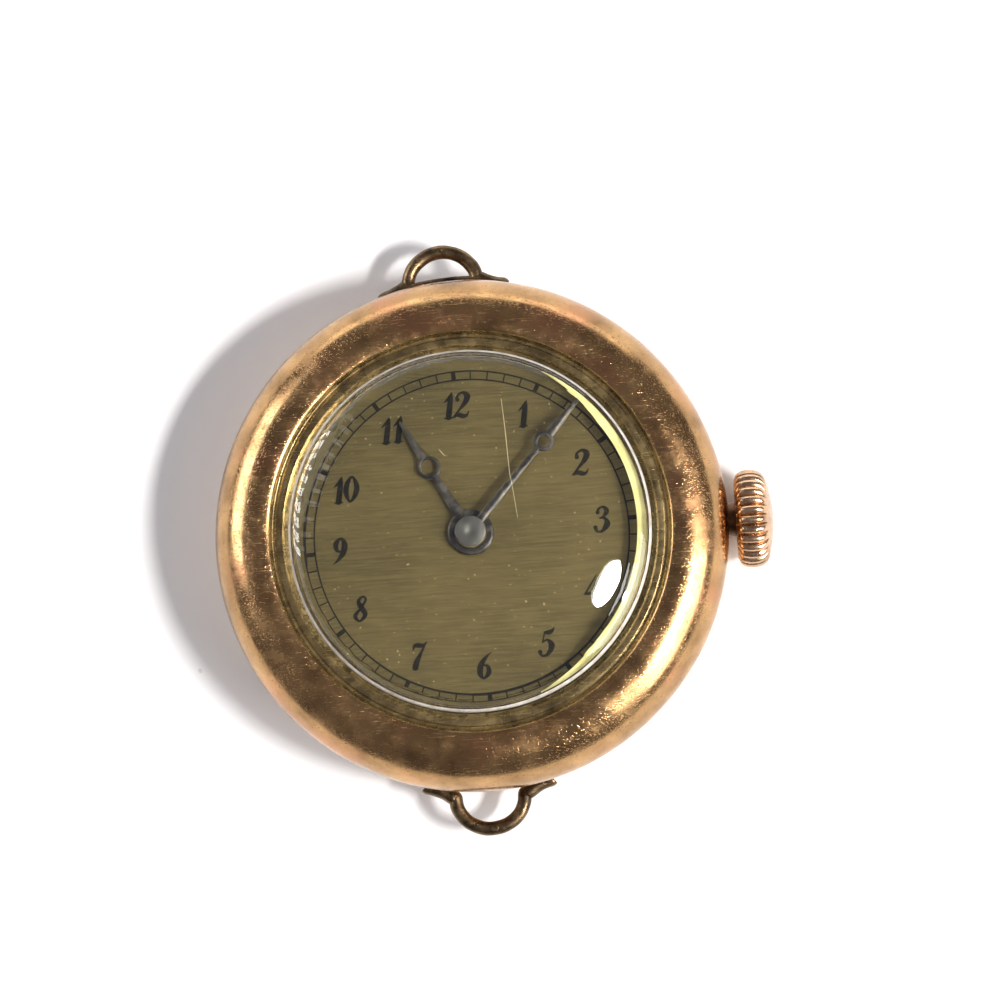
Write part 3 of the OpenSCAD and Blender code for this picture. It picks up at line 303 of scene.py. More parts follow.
def scratches(tree, coords, turn, width_mm, length_mm, share):
    """1 on thin straight marks in one direction, 0 elsewhere."""
    stretched = mapped(tree, coords, (1 / length_mm, 1 / width_mm, 1 / width_mm),
                       (0, 0, math.radians(turn)))
    return spread(tree, noisy(tree, stretched, 1, 2, 0.5), 1 - share, 1 - share + 0.06)


def worn_metal(name, base, dark, rough, tint=3.0, pits=0.25, marks=(20, 75, 140),
               grime=0.35, depth=0.012, warm=None):
    """Polished metal gone dull in patches, with scratches and pits."""
    mat, tree, shader, coords = start_material(name)
    shader.inputs["Metallic"].default_value = 1.0
    patches = spread(tree, noisy(tree, coords, tint, 5, 0.6), 0.35, 0.68)
    specks = spread(tree, noisy(tree, coords, pits, 2, 0.5), 0.6, 0.72)
    film = math_node(tree, "MULTIPLY", patches, grime)
    stain = math_node(tree, "MAXIMUM", film, math_node(tree, "MULTIPLY", specks, grime))
    colour = mixed(tree, stain, base, dark)
    if warm:
        rosy = spread(tree, noisy(tree, coords, tint * 1.7, 3, 0.5), 0.5, 0.66)
        colour = mixed(tree, math_node(tree, "MULTIPLY", rosy, 0.7), colour, warm)
    tree.links.new(colour, shader.inputs["Base Color"])
    lines = None
    for turn in marks:
        one = scratches(tree, coords, turn, 0.05, 2.4, 0.34)
        lines = one if lines is None else math_node(tree, "MAXIMUM", lines, one)
    low, high = rough
    dull = spread(tree, noisy(tree, coords, tint * 0.6, 4, 0.65), 0.3, 0.7, low, high)
    marked = math_node(tree, "MULTIPLY", lines, 0.12)
    tree.links.new(math_node(tree, "ADD", dull, marked), shader.inputs["Roughness"])
    ripple = noisy(tree, coords, 1.6, 2, 0.5)
    height = math_node(tree, "SUBTRACT", ripple, math_node(tree, "MULTIPLY", specks, 0.35))
    height = math_node(tree, "SUBTRACT", height, math_node(tree, "MULTIPLY", lines, 0.12))
    bump(tree, shader, height, depth)
    return mat


def turned_metal(name, base, dark, rough, centre, pitch=0.05, depth=0.004):
    """Metal with the fine rings that a lathe or a polishing lap leaves round its centre."""
    mat, tree, shader, coords = start_material(name)
    shader.inputs["Metallic"].default_value = 1.0
    offset = tree.nodes.new("ShaderNodeVectorMath")
    offset.operation = "SUBTRACT"
    tree.links.new(coords, offset.inputs[0])
    offset.inputs[1].default_value = centre
    flat = mapped(tree, offset.outputs["Vector"], (1, 1, 0))
    radius = tree.nodes.new("ShaderNodeVectorMath")
    radius.operation = "LENGTH"
    tree.links.new(flat, radius.inputs[0])
    line = tree.nodes.new("ShaderNodeCombineXYZ")
    tree.links.new(radius.outputs["Value"], line.inputs["X"])
    grain = noisy(tree, line.outputs["Vector"], pitch, 3, 0.6)
    film = spread(tree, noisy(tree, coords, 1.5, 4, 0.6), 0.4, 0.75, 0, 0.5)
    tree.links.new(mixed(tree, film, base, dark), shader.inputs["Base Color"])
    low, high = rough
    tree.links.new(spread(tree, grain, 0.3, 0.7, low, high), shader.inputs["Roughness"])
    bump(tree, shader, grain, depth)
    return mat


def frosted_metal(name, base, dark, rough, pitch=0.06, depth=0.008):
    """Gilt plate with the fine frosted grain of a blasted or stippled surface."""
    mat, tree, shader, coords = start_material(name)
    shader.inputs["Metallic"].default_value = 1.0
    grain = noisy(tree, coords, pitch, 3, 0.7)
    film = spread(tree, noisy(tree, coords, 2.2, 5, 0.6), 0.4, 0.75, 0, 0.6)
    tree.links.new(mixed(tree, film, base, dark), shader.inputs["Base Color"])
    low, high = rough
    tree.links.new(spread(tree, grain, 0.3, 0.7, low, high), shader.inputs["Roughness"])
    bump(tree, shader, grain, depth)
    return mat


def dial_material():
    """Gilt dial, brushed from side to side, with fly specks and a few dark freckles."""
    mat, tree, shader, coords = start_material("dial_gilt")
    shader.inputs["Metallic"].default_value = 0.35
    shader.inputs["Specular IOR Level"].default_value = 0.2
    brushed = mapped(tree, coords, (0.05, 1, 1), (0, 0, math.radians(4)))
    grain = noisy(tree, brushed, 0.09, 4, 0.7)
    clouds = spread(tree, noisy(tree, coords, 5, 4, 0.55), 0.3, 0.72)
    colour = mixed(tree, clouds, (0.060, 0.045, 0.016), (0.033, 0.026, 0.009))
    lines = math_node(tree, "MULTIPLY", spread(tree, grain, 0.38, 0.66), 0.5)
    colour = mixed(tree, lines, colour, (0.110, 0.082, 0.030))
    freckles = spread(tree, noisy(tree, coords, 0.16, 1, 0.5), 0.70, 0.76)
    colour = mixed(tree, math_node(tree, "MULTIPLY", freckles, 0.55), colour,
                   (0.05, 0.035, 0.015))
    dots = spread(tree, noisy(tree, mapped(tree, coords, (1, 1, 1), (0, 0, 0), (0.01, 0, 0)),
                              0.2, 1, 0.5), 0.72, 0.77)
    colour = mixed(tree, math_node(tree, "MULTIPLY", dots, 0.4), colour, (0.4, 0.33, 0.16))
    tree.links.new(colour, shader.inputs["Base Color"])
    tree.links.new(spread(tree, grain, 0.3, 0.7, 0.38, 0.6), shader.inputs["Roughness"])
    bump(tree, shader, grain, 0.004)
    return mat


def ink_material():
    """Black printed enamel, worn thin in places."""
    mat, tree, shader, coords = start_material("dial_ink")
    worn = spread(tree, noisy(tree, coords, 0.22, 4, 0.7), 0.52, 0.8)
    shader.inputs["Specular IOR Level"].default_value = 0.08
    tree.links.new(mixed(tree, worn, (0.0015, 0.0014, 0.0012), (0.02, 0.016, 0.008)),
                   shader.inputs["Base Color"])
    tree.links.new(spread(tree, worn, 0, 1, 0.55, 0.8), shader.inputs["Roughness"])
    bump(tree, shader, worn, 0.004)
    return mat


def hand_material():
    """Old blued steel: the blue has gone to grey, with small rust spots."""
    mat, tree, shader, coords = start_material("hand_steel")
    shader.inputs["Metallic"].default_value = 0.9
    patches = spread(tree, noisy(tree, coords, 0.5, 4, 0.6), 0.35, 0.7)
    colour = mixed(tree, patches, (0.028, 0.028, 0.032), (0.095, 0.09, 0.083))
    rust = spread(tree, noisy(tree, coords, 0.23, 3, 0.6), 0.5, 0.64)
    colour = mixed(tree, math_node(tree, "MULTIPLY", rust, 0.6), colour, (0.06, 0.036, 0.02))
    tree.links.new(colour, shader.inputs["Base Color"])
    tree.links.new(spread(tree, patches, 0, 1, 0.28, 0.5), shader.inputs["Roughness"])
    bump(tree, shader, noisy(tree, coords, 0.18, 3, 0.6), 0.006)
    return mat


def crystal_material():
    """Clear glass with a few scratches; it lets lamps through to the dial."""
    mat, tree, shader, coords = start_material("crystal_clear")
    shader.inputs["Base Color"].default_value = (0.985, 0.985, 0.95, 1)
    shader.inputs["Transmission Weight"].default_value = 1.0
    shader.inputs["IOR"].default_value = 1.49
    fine = noisy(tree, coords, 0.3, 3, 0.5)
    tree.links.new(spread(tree, fine, 0.55, 0.8, 0.0, 0.012), shader.inputs["Roughness"])
    bump(tree, shader, noisy(tree, coords, 2.5, 2, 0.5), 0.004)
    clear = tree.nodes.new("ShaderNodeBsdfTransparent")
    clear.inputs["Color"].default_value = (0.93, 0.93, 0.88, 1)
    path = tree.nodes.new("ShaderNodeLightPath")
    mix = tree.nodes.new("ShaderNodeMixShader")
    tree.links.new(path.outputs["Is Shadow Ray"], mix.inputs["Fac"])
    tree.links.new(shader.outputs["BSDF"], mix.inputs[1])
    tree.links.new(clear.outputs["BSDF"], mix.inputs[2])
    tree.links.new(mix.outputs["Shader"], tree.nodes["Material Output"].inputs["Surface"])
    return mat


def rim_material():
    """Ground and slightly chipped edge of the glass."""
    mat, tree, shader, coords = start_material("crystal_ground_rim")
    chips = spread(tree, noisy(tree, coords, 0.5, 4, 0.7), 0.4, 0.65)
    tree.links.new(mixed(tree, chips, (0.78, 0.75, 0.71), (0.42, 0.38, 0.32)),
                   shader.inputs["Base Color"])
    tree.links.new(spread(tree, chips, 0, 1, 0.18, 0.4), shader.inputs["Roughness"])
    bump(tree, shader, chips, 0.01)
    return mat


def cement_material():
    """Painted yellow glow of light along the crystal's seat, brighter in patches."""
    mat, tree, shader, coords = start_material("crystal_painted_glow")
    patches = spread(tree, noisy(tree, coords, 1.2, 4, 0.6), 0.35, 0.7)
    # painted glow: these bright yellows stand for light in the crystal's edge, not a colour of the
    # watch
    tree.links.new(mixed(tree, patches, (0.62, 0.58, 0.27), (0.42, 0.38, 0.16)),
                   shader.inputs["Base Color"])
    tree.links.new(spread(tree, patches, 0, 1, 0.3, 0.5), shader.inputs["Roughness"])
    bump(tree, shader, patches, 0.01)
    return mat


def scratch_material():
    """Frosted edge of a scratch in the glass."""
    mat, tree, shader, coords = start_material("crystal_scratch")
    shader.inputs["Roughness"].default_value = 0.6
    grit = noisy(tree, coords, 0.12, 3, 0.6)
    tree.links.new(mixed(tree, grit, (0.16, 0.13, 0.06), (0.50, 0.44, 0.28)),
                   shader.inputs["Base Color"])
    bump(tree, shader, grit, 0.01)
    return mat


def ruby_material():
    mat, tree, shader, coords = start_material("ruby")
    clouds = noisy(tree, coords, 0.4, 4, 0.6)
    tree.links.new(mixed(tree, clouds, (0.42, 0.006, 0.03), (0.75, 0.03, 0.09)),
                   shader.inputs["Base Color"])
    shader.inputs["Roughness"].default_value = 0.06
    shader.inputs["IOR"].default_value = 1.76
    shader.inputs["Transmission Weight"].default_value = 0.35
    bump(tree, shader, clouds, 0.002)
    return mat


def paper_material():
    """White table top with faint grey clouds and a few specks."""
    mat, tree, shader, coords = start_material("table_top")
    shader.inputs["Roughness"].default_value = 0.75
    clouds = spread(tree, noisy(tree, mapped(tree, coords, (1, 0.35, 1), (0, 0, 0.6)),
                                14, 5, 0.6), 0.45, 0.8, 0, 0.5)
    colour = mixed(tree, clouds, (0.86, 0.86, 0.87), (0.77, 0.765, 0.79))
    specks = spread(tree, noisy(tree, coords, 1.1, 1, 0.5), 0.785, 0.80)
    colour = mixed(tree, math_node(tree, "MULTIPLY", specks, 0.35), colour, (0.4, 0.36, 0.3))
    tree.links.new(colour, shader.inputs["Base Color"])
    bump(tree, shader, noisy(tree, coords, 1.5, 4, 0.6), 0.01)
    return mat


GOLD = worn_metal("case_gold", (0.60, 0.36, 0.16), (0.12, 0.06, 0.026), (0.12, 0.32),
                  tint=2.1, pits=0.14, grime=0.62, depth=0.018, warm=(0.58, 0.28, 0.14))
GOLD_BACK = worn_metal("back_gold", (0.80, 0.49, 0.23), (0.42, 0.23, 0.09), (0.16, 0.36),
                       tint=4.0, pits=0.2, marks=(10, 48, 95, 150), grime=0.35)
STEP_GOLD = worn_metal("step_gold", (0.55, 0.40, 0.18), (0.12, 0.085, 0.045), (0.18, 0.36),
                       tint=1.4, pits=0.18, grime=0.75)
CROWN_GOLD = worn_metal("crown_gold", (0.80, 0.53, 0.33), (0.20, 0.11, 0.06), (0.16, 0.36),
                        tint=0.9, pits=0.2, grime=0.6)
NECK = worn_metal("neck_brass", (0.16, 0.085, 0.045), (0.03, 0.018, 0.012), (0.3, 0.5),
                  tint=0.7, pits=0.15, grime=0.8)
LOOP_BRASS = worn_metal("loop_brass", (0.24, 0.16, 0.085), (0.03, 0.021, 0.014), (0.22, 0.45),
                        tint=0.8, pits=0.14, grime=0.95, depth=0.02)
CENTRE_STEEL = turned_metal("centre_steel", (0.085, 0.085, 0.083), (0.035, 0.034, 0.033),
                            (0.42, 0.62), (0, 0, 0), 0.04)
DIAL = dial_material()
INK = ink_material()
HAND = hand_material()
CRYSTAL = crystal_material()
GROUND_RIM = rim_material()
PAINTED_GLOW = cement_material()
SCRATCH = scratch_material()
RUBY = ruby_material()
PAPER = paper_material()


# ================= case =================

def ellipse_side(steps):
    """The bezel's round outer side, from its foot to its crest."""
    a, b = CASE_R - CREST_R, CREST_Z - WIDE_Z
    low = math.asin((BEZEL_FOOT_Z - WIDE_Z) / b)
    return [(CREST_R + a * math.cos(low + (math.pi / 2 - low) * i / steps),
             WIDE_Z + b * math.sin(low + (math.pi / 2 - low) * i / steps))
            for i in range(steps + 1)]


def make_bezel():
    polished_r = LIP_R + 0.1       # the stepped bands inside this are duller
    notch_r = TUBE_R + 0.05
    lip = smooth_line([(CREST_R, CREST_Z), (LIP_R + 0.3, CREST_Z - 0.035),
                       (polished_r, CREST_Z - 0.1), (LIP_R, CREST_Z - 0.24)], 6)[1:]
    bands = rounded([(LIP_R - 0.02, STEP_Z + 0.04), (LIP_R - 0.07, STEP_Z - 0.05),
                     (LIP_R - 0.24, STEP_Z - 0.06), (LIP_R - 0.27, STEP_Z + 0.02),
                     (LIP_R - 0.62, STEP_Z + 0.02), (GROOVE_R, STEP_Z - 0.03),
                     (GROOVE_R, GROOVE_Z), (SEAT_R, GROOVE_Z), (SEAT_R, FLANGE_Z),
                     (SNAP_R - 0.6, FLANGE_Z), (SNAP_R + 0.05, SNAP_Z1 + 0.1),
                     (SNAP_R + 0.05, BEZEL_FOOT_Z)], 0.03, 3)
    profile = ellipse_side(34) + [tuple(p) for p in lip] + bands[:-1]
    bm = bmesh.new()
    lathe(bm, profile, 384)
    for v in bm.verts:
        # half-round notch over the crown's tube
        if v.co.x > 0 and abs(v.co.y) < notch_r and v.co.z < STEM_Z + 1.2:
            v.co.z = max(v.co.z, STEM_Z + math.sqrt(notch_r ** 2 - v.co.y ** 2))
    dented(bm, 0.012, 2.3, lambda co: co.xy.length > polished_r)
    obj = new_piece("bezel_ring", bm, GOLD, "bezel_and_crystal", ["bezel"], 28)
    obj.data.materials.append(STEP_GOLD)
    for face in obj.data.polygons:
        if face.center.xy.length < polished_r * MM:
            face.material_index = 1


def dome_z(r, rim_r=DOME_R, rim_z=DOME_Z, top_z=CRYSTAL_TOP_Z):
    """Height of a round dome at radius r; the dome is the crystal's outside if none is given."""
    rise = top_z - rim_z
    radius = (rim_r ** 2 + rise ** 2) / (2 * rise)
    return top_z - radius + math.sqrt(radius ** 2 - r ** 2)


def dome_points(rim_r, rim_z, top_z, steps):
    """A dome's section from its rim to its top."""
    radii = [rim_r * (1 - i / steps) for i in range(steps + 1)]
    return [(r, dome_z(r, rim_r, rim_z, top_z)) for r in radii]


def make_crystal():
    bore = CRYSTAL_R - 0.38
    inner_r, inner_z, inner_top = CRYSTAL_R - 1, DOME_Z - 0.60, CRYSTAL_TOP_Z - CRYSTAL_T
    ground = 0.13                  # width of the ground edge
    shoulder = smooth_line([(CRYSTAL_R, CRYSTAL_Z0 + 0.9), (CRYSTAL_R, SHOULDER_Z - 0.05),
                            (CRYSTAL_R - 0.08, SHOULDER_Z + 0.22),
                            (CRYSTAL_R - 0.29, SHOULDER_Z + 0.45), (DOME_R, DOME_Z),
                            (DOME_R - 0.3, DOME_Z + 0.12)], 6)
    outside = [(CRYSTAL_R, CRYSTAL_Z0)] + [tuple(p) for p in shoulder[:-6]]
    outside += dome_points(DOME_R, DOME_Z, CRYSTAL_TOP_Z, 48)[:-1]
    corner = smooth_line([(inner_r, inner_z), (bore - 0.22, inner_z - 0.14),
                          (bore, inner_z - 0.42), (bore, CRYSTAL_Z0 + 0.2)], 5)[1:]
    inside = list(reversed(dome_points(inner_r, inner_z, inner_top, 40)))[1:]
    inside += [tuple(p) for p in corner] + [(bore, CRYSTAL_Z0)]
    bm = bmesh.new()
    outer = add_loops(bm, turned(outside, 256), closed=False)
    inner = add_loops(bm, turned(inside, 256), closed=False)
    add_fan(bm, [row[-1] for row in outer], (0, 0, CRYSTAL_TOP_Z))
    add_fan(bm, [row[0] for row in inner], (0, 0, inner_top))
    join_rows(bm, [row[-1] for row in inner], [row[0] for row in outer])
    obj = new_piece("crystal_dome", bm, CRYSTAL, "bezel_and_crystal", ["crystal"],
                    50)
    obj.data.materials.append(GROUND_RIM)
    for face in obj.data.polygons:
        if face.center.xy.length > (CRYSTAL_R - ground) * MM and face.normal.z > 0.02:
            face.material_index = 1


def make_cement():
    """Painted yellow glow that stands for light the crystal throws along the lit right of its
    seat; it shows through the glass.
    """
    outer, low, high = CRYSTAL_R - 0.4, 6.86, 6.98
    middle, reach, steps = -4, 66, 88      # reach is in degrees, to each side of the middle
    thin, thick, taper = 0.02, 0.5, 2.6
    # the painted glow lies only along the lit right side and is widest in its middle
    rings = []
    for i in range(steps + 1):
        turn = reach * (2 * i / steps - 1)
        wide = thin + (thick - thin) * min(1, taper * (1 - abs(turn) / reach))
        a = math.radians(turn + middle)
        rings.append([Vector((r * math.cos(a), r * math.sin(a), z))
                      for r, z in ((outer, low), (outer, high), (outer - wide / 2, high - 0.02),
                                   (outer - wide, high - 0.08), (outer - wide, low - 0.04))])
    bm = bmesh.new()
    add_rod(bm, rings)
    # piece that carries the painted yellow glow of light under the crystal
    new_piece("crystal_painted_glow", bm, PAINTED_GLOW, "bezel_and_crystal")


make_bezel()
make_crystal()
make_cement()


def make_case_middle():
    foot_z, low_z, high_z = 0.9, 1.85, 3.4
    shelf_r, shelf_z0, shelf_z1 = 11.6, 1.9, 2.15
    profile = rounded([(BAND_BORE_R, foot_z), (SNAP_R - 0.08, foot_z), (SNAP_R - 0.05, low_z),
                       (BAND_LOW_R - 0.1, low_z), (BAND_LOW_R, low_z + 0.1),
                       (BAND_R, high_z - 0.1), (BAND_R - 0.1, high_z), (SNAP_R, high_z),
                       (SNAP_R, SNAP_Z1 - 0.35), (SNAP_R - 0.15, SNAP_Z1),
                       (BAND_BORE_R, SNAP_Z1), (BAND_BORE_R, shelf_z1), (shelf_r, shelf_z1),
                       (shelf_r, shelf_z0), (BAND_BORE_R, shelf_z0)], 0.04, 3)
    bm = bmesh.new()
    lathe(bm, profile, 256)
    dented(bm, 0.006, 2.5)
    new_piece("case_band", bm, GOLD_BACK, "watch", ["case_middle"])


def make_back_cover():
    flat_r, side_z, rim_z = 11.4, 1.3, 1.8
    floor_r, floor_z = SNAP_R - 0.6, 0.45
    lip_w, lip_in, lip_out, lip_z0, lip_z1 = 1.0, 13.2, 14.05, 1.37, 1.73
    flat = [(flat_r * k / 12, 0) for k in range(1, 12)]
    side = [(flat_r + (BAND_LOW_R - flat_r) * math.sin(math.radians(t)),
             side_z * (1 - math.cos(math.radians(t)))) for t in range(0, 91, 5)]
    rim = [(BAND_LOW_R, rim_z - 0.08), (BAND_LOW_R - 0.03, rim_z - 0.03),
           (BAND_LOW_R - 0.08, rim_z), (SNAP_R, rim_z), (SNAP_R, 0.95), (floor_r, floor_z)]
    floor = [(floor_r * k / 10, floor_z) for k in range(9, 0, -1)]
    bm = bmesh.new()
    rows = add_loops(bm, turned(flat + side + rim + floor, 256), closed=False)
    add_fan(bm, [row[0] for row in rows], (0, 0, 0))
    add_fan(bm, [row[-1] for row in rows], (0, 0, floor_z))
    # thumb lip, a small rounded tab at the rim
    tab = rounded([(-lip_w / 2, lip_in), (lip_w / 2, lip_in), (lip_w / 2, lip_out),
                   (-lip_w / 2, lip_out)], [0, 0, 0.22, 0.22], 5)
    start = len(bm.verts)
    slab(bm, tab, lip_z0, lip_z1, 0.06)
    bm.verts.ensure_lookup_table()
    turn = Matrix.Rotation(math.radians(THUMB_LIP_A - 90), 3, "Z")
    for v in bm.verts[start:]:
        v.co = turn @ v.co
    new_piece("case_back", bm, GOLD_BACK, "back", ["back_cover"])


def loop_path(foot_a, foot_tip):
    """(x, y, half width, half height) along a loop from one foot's tip to the other's."""
    half = foot_tip / 2
    band = FOOT_R + half
    flat = 0.12                    # how much lower than a half circle the arch is

    def on_band(angle, out, wide, tall):
        a = math.radians(90 - angle)
        return (out * math.cos(a), out * math.sin(a), wide, tall)

    foot = [on_band(foot_a - 0.1, band - 0.03, half * 0.7, 0.33),
            on_band(foot_a - 0.5, band - 0.01, half * 0.95, 0.39),
            on_band(foot_a - 2.4, band, half, FOOT_TALL),
            on_band(foot_a - 4.2, band + 0.05, half + 0.04, FOOT_TALL),
            (ARCH_R + 0.16, band + 0.12, FOOT_TALL, FOOT_TALL)]
    arch = []
    for k in range(13):
        t = math.pi * k / 12
        arch.append((ARCH_R * math.cos(t),
                     LOOP_REACH - WIRE_R - (ARCH_R - flat) * (1 - math.sin(t)),
                     WIRE_R, WIRE_R))
    mirrored = [(-x, y, w, h) for x, y, w, h in reversed(foot)]
    return smooth_line(foot + arch + mirrored, 8)


def add_bar(bm, path, sides, square, flip):
    """Sweeps a superellipse along (x, y, half width, half height) points in a flat plane."""
    rings = []
    for i, p in enumerate(path):
        after, before = path[min(i + 1, len(path) - 1)], path[max(i - 1, 0)]
        along = Vector((after[0] - before[0], after[1] - before[1])).normalized()
        side = Vector((-along.y, along.x))
        ring = []
        for k in range(sides):
            a = math.tau * k / sides
            c, s = math.cos(a), math.sin(a)
            u = math.copysign(abs(c) ** (2 / square), c) * p[2]
            w = math.copysign(abs(s) ** (2 / square), s) * p[3]
            ring.append((p[0] + side.x * u, flip * (p[1] + side.y * u), LOOP_Z + w))
        rings.append(ring)
    add_rod(bm, rings)


def make_loop(name, node, foot_a, foot_tip, flip, strap, skew=0):
    bm = bmesh.new()
    add_bar(bm, loop_path(foot_a, foot_tip), 24, 2.3, flip)
    if strap:
        half = foot_tip / 2 - 0.02
        arc = [((FOOT_R + half) * math.sin(math.radians(a)),
                (FOOT_R + half) * math.cos(math.radians(a)), half, FOOT_TALL)
               for a in range(-9, 10)]
        add_bar(bm, arc, 20, 4.0, flip)
    dented(bm, 0.03, 0.8)
    turn_shape(bm, skew)
    new_piece(name, bm, LOOP_BRASS, "watch", [node], 40)


def make_crown_tube():
    bore_r, inner_x, outer_x = 0.55, 12.3, 14.9
    profile = rounded([(bore_r, inner_x), (TUBE_R, inner_x), (TUBE_R, outer_x),
                       (bore_r, outer_x)], 0.06, 4)
    bm = bmesh.new()
    lathe(bm, profile, 96, "X", (0, 0, STEM_Z))
    dented(bm, 0.006, 0.7)
    new_piece("crown_neck", bm, NECK, "watch", ["crown_tube"])


def make_crown():
    ribs, per_rib = 28, 18
    radius, depth, length, end = 2.675, 0.27, 2.07, 16.5
    bore_r, bore_depth = 1.04, 0.95
    base = end - length
    # (place along the crown, radius, how deep the ribs are cut there)
    stations = [(0.0, 1.1, 0), (0.0, radius - 0.62, 0), (0.04, radius - 0.5, 0.3),
                (0.12, radius - 0.29, 0.8), (0.27, radius - 0.12, 1), (0.55, radius - 0.02, 1),
                (0.85, radius, 1), (1.15, radius - 0.03, 1), (1.4, radius - 0.13, 1),
                (1.58, radius - 0.28, 0.9), (1.7, radius - 0.48, 0.5),
                (1.78, radius - 0.72, 0.1), (1.88, radius - 1.1, 0), (1.97, radius - 1.6, 0),
                (2.03, radius - 2.05, 0), (length, 0.12, 0)]
    stations = smooth_line(stations, 4)
    bm = bmesh.new()
    rings, hole = [], []
    for i in range(ribs * per_rib):
        a = math.tau * i / (ribs * per_rib)
        c, s = math.cos(a), math.sin(a)
        lobe = abs(math.sin(a * ribs / 2)) ** 0.55
        ring = []
        for x, r, cut in stations:
            here = r - depth * cut * (1 - lobe)
            ring.append((base + min(x, length), here * c, STEM_Z + here * s))
        rings.append(ring)
        hole.append(bm.verts.new((base + bore_depth, bore_r * c, STEM_Z + bore_r * s)))
    rows = add_loops(bm, rings, closed=False)
    add_fan(bm, [row[-1] for row in rows], (end, 0, STEM_Z))
    join_rows(bm, [row[0] for row in rows], hole)
    add_fan(bm, hole, (base + bore_depth, 0, STEM_Z))
    dented(bm, 0.012, 0.9)
    new_piece("crown_ribbed", bm, CROWN_GOLD, "crown_and_stem", ["crown"], 40)


make_case_middle()
make_back_cover()
make_loop("ribbon_loop_12", "loop_12", 14.2, 0.88, 1, True, LOOP_12_SKEW)
make_loop("ribbon_loop_6", "loop_6", 14.8, 0.65, -1, False)
make_crown_tube()
make_crown()


# ================= dial =================

INK_Z = DIAL_Z1 + 0.014
PRINT_T = 0.012
PRINT_SHIFT = (0.03, -0.19, 0)     # the print is a little off the dial's centre
NUMERAL_R = 7.1
NUMERAL_H = 1.38
PEN_WEIGHT = 1.24
HAIRLINE = 0.02 * NUMERAL_H
SLANT = math.tan(math.radians(11))

# Strokes of the figures: points with x, y and the pen's width, in units of a figure's height.
FIGURES = {
    "0": [[(0.30, 0.98, 0.07), (0.13, 0.76, 0.15), (0.10, 0.40, 0.17), (0.28, 0.03, 0.07),
           (0.47, 0.26, 0.15), (0.50, 0.62, 0.17)]],
    "1": [[(0.08, 0.66, 0.03), (0.20, 0.76, 0.08), (0.32, 0.94, 0.07)],
          [(0.35, 1.02, 0.03), (0.33, 0.84, 0.14), (0.32, 0.5, 0.18), (0.31, 0.06, 0.18)],
          [(0.16, 0.03, 0.04), (0.31, 0.04, 0.08), (0.47, 0.03, 0.04)]],
    "2": [[(0.13, 0.72, 0.14), (0.12, 0.86, 0.08), (0.30, 0.97, 0.09), (0.50, 0.84, 0.19),
           (0.47, 0.62, 0.17), (0.28, 0.36, 0.09), (0.05, 0.07, 0.05)],
          [(0.05, 0.06, 0.08), (0.22, 0.12, 0.14), (0.42, 0.05, 0.14), (0.56, 0.08, 0.08),
           (0.62, 0.22, 0.03)]],
    "3": [[(0.12, 0.78, 0.13), (0.15, 0.92, 0.07), (0.32, 0.97, 0.09), (0.47, 0.80, 0.16),
           (0.36, 0.60, 0.08), (0.22, 0.55, 0.05)],
          [(0.22, 0.55, 0.05), (0.42, 0.52, 0.09), (0.53, 0.29, 0.2), (0.36, 0.04, 0.10),
           (0.16, 0.05, 0.08), (0.08, 0.20, 0.14)]],
    "4": [[(0.40, 0.99, 0.04), (0.22, 0.66, 0.06), (0.04, 0.34, 0.06)],
          [(0.03, 0.31, 0.08), (0.30, 0.31, 0.10), (0.60, 0.33, 0.06)],
          [(0.44, 0.78, 0.08), (0.41, 0.4, 0.17), (0.39, 0.02, 0.17)]],
    "5": [[(0.18, 0.93, 0.06), (0.32, 0.90, 0.14), (0.46, 0.94, 0.12), (0.56, 1.06, 0.03)],
          [(0.19, 0.92, 0.05), (0.14, 0.54, 0.05)],
          [(0.14, 0.54, 0.05), (0.32, 0.62, 0.08), (0.51, 0.38, 0.2), (0.38, 0.06, 0.11),
           (0.16, 0.03, 0.08), (0.07, 0.18, 0.14)]],
    "6": [[(0.52, 1.0, 0.02), (0.34, 0.86, 0.09), (0.15, 0.56, 0.18), (0.14, 0.24, 0.18),
           (0.30, 0.03, 0.08), (0.48, 0.22, 0.16), (0.42, 0.46, 0.12), (0.26, 0.53, 0.05),
           (0.16, 0.42, 0.04)]],
    "7": [[(0.05, 0.74, 0.03), (0.10, 0.90, 0.12), (0.28, 0.90, 0.15), (0.44, 0.88, 0.10),
           (0.56, 1.0, 0.04)],
          [(0.54, 0.97, 0.04), (0.38, 0.62, 0.09), (0.24, 0.28, 0.18), (0.20, 0.05, 0.19)]],
    "8": [[(0.45, 0.82, 0.08), (0.32, 0.97, 0.07), (0.17, 0.80, 0.12), (0.30, 0.56, 0.17),
           (0.48, 0.27, 0.15), (0.29, 0.03, 0.07), (0.09, 0.24, 0.13), (0.26, 0.50, 0.07)]],
}
FIGURES["9"] = [[(0.6 - x, 1.0 - y, w) for x, y, w in FIGURES["6"][0]]]
ENDLESS = "08"         # figures whose stroke comes back to its start
ADVANCE = {"1": 0.47, "2": 0.64}       # room that a figure takes up; 0.6 for the others

# where each number sits beside its hour line, as the printer's plate left it
NUDGES = {1: (-0.09, 0.09), 2: (0.17, -0.27), 3: (-0.04, 0.09), 5: (-0.2, -0.05),
          6: (-0.09, 0.06), 7: (0, 0.06), 8: (-0.21, 0.34), 9: (-0.05, 0.04),
          10: (-0.34, -0.27), 11: (-0.12, 0.04), 12: (-0.05, 0.04)}


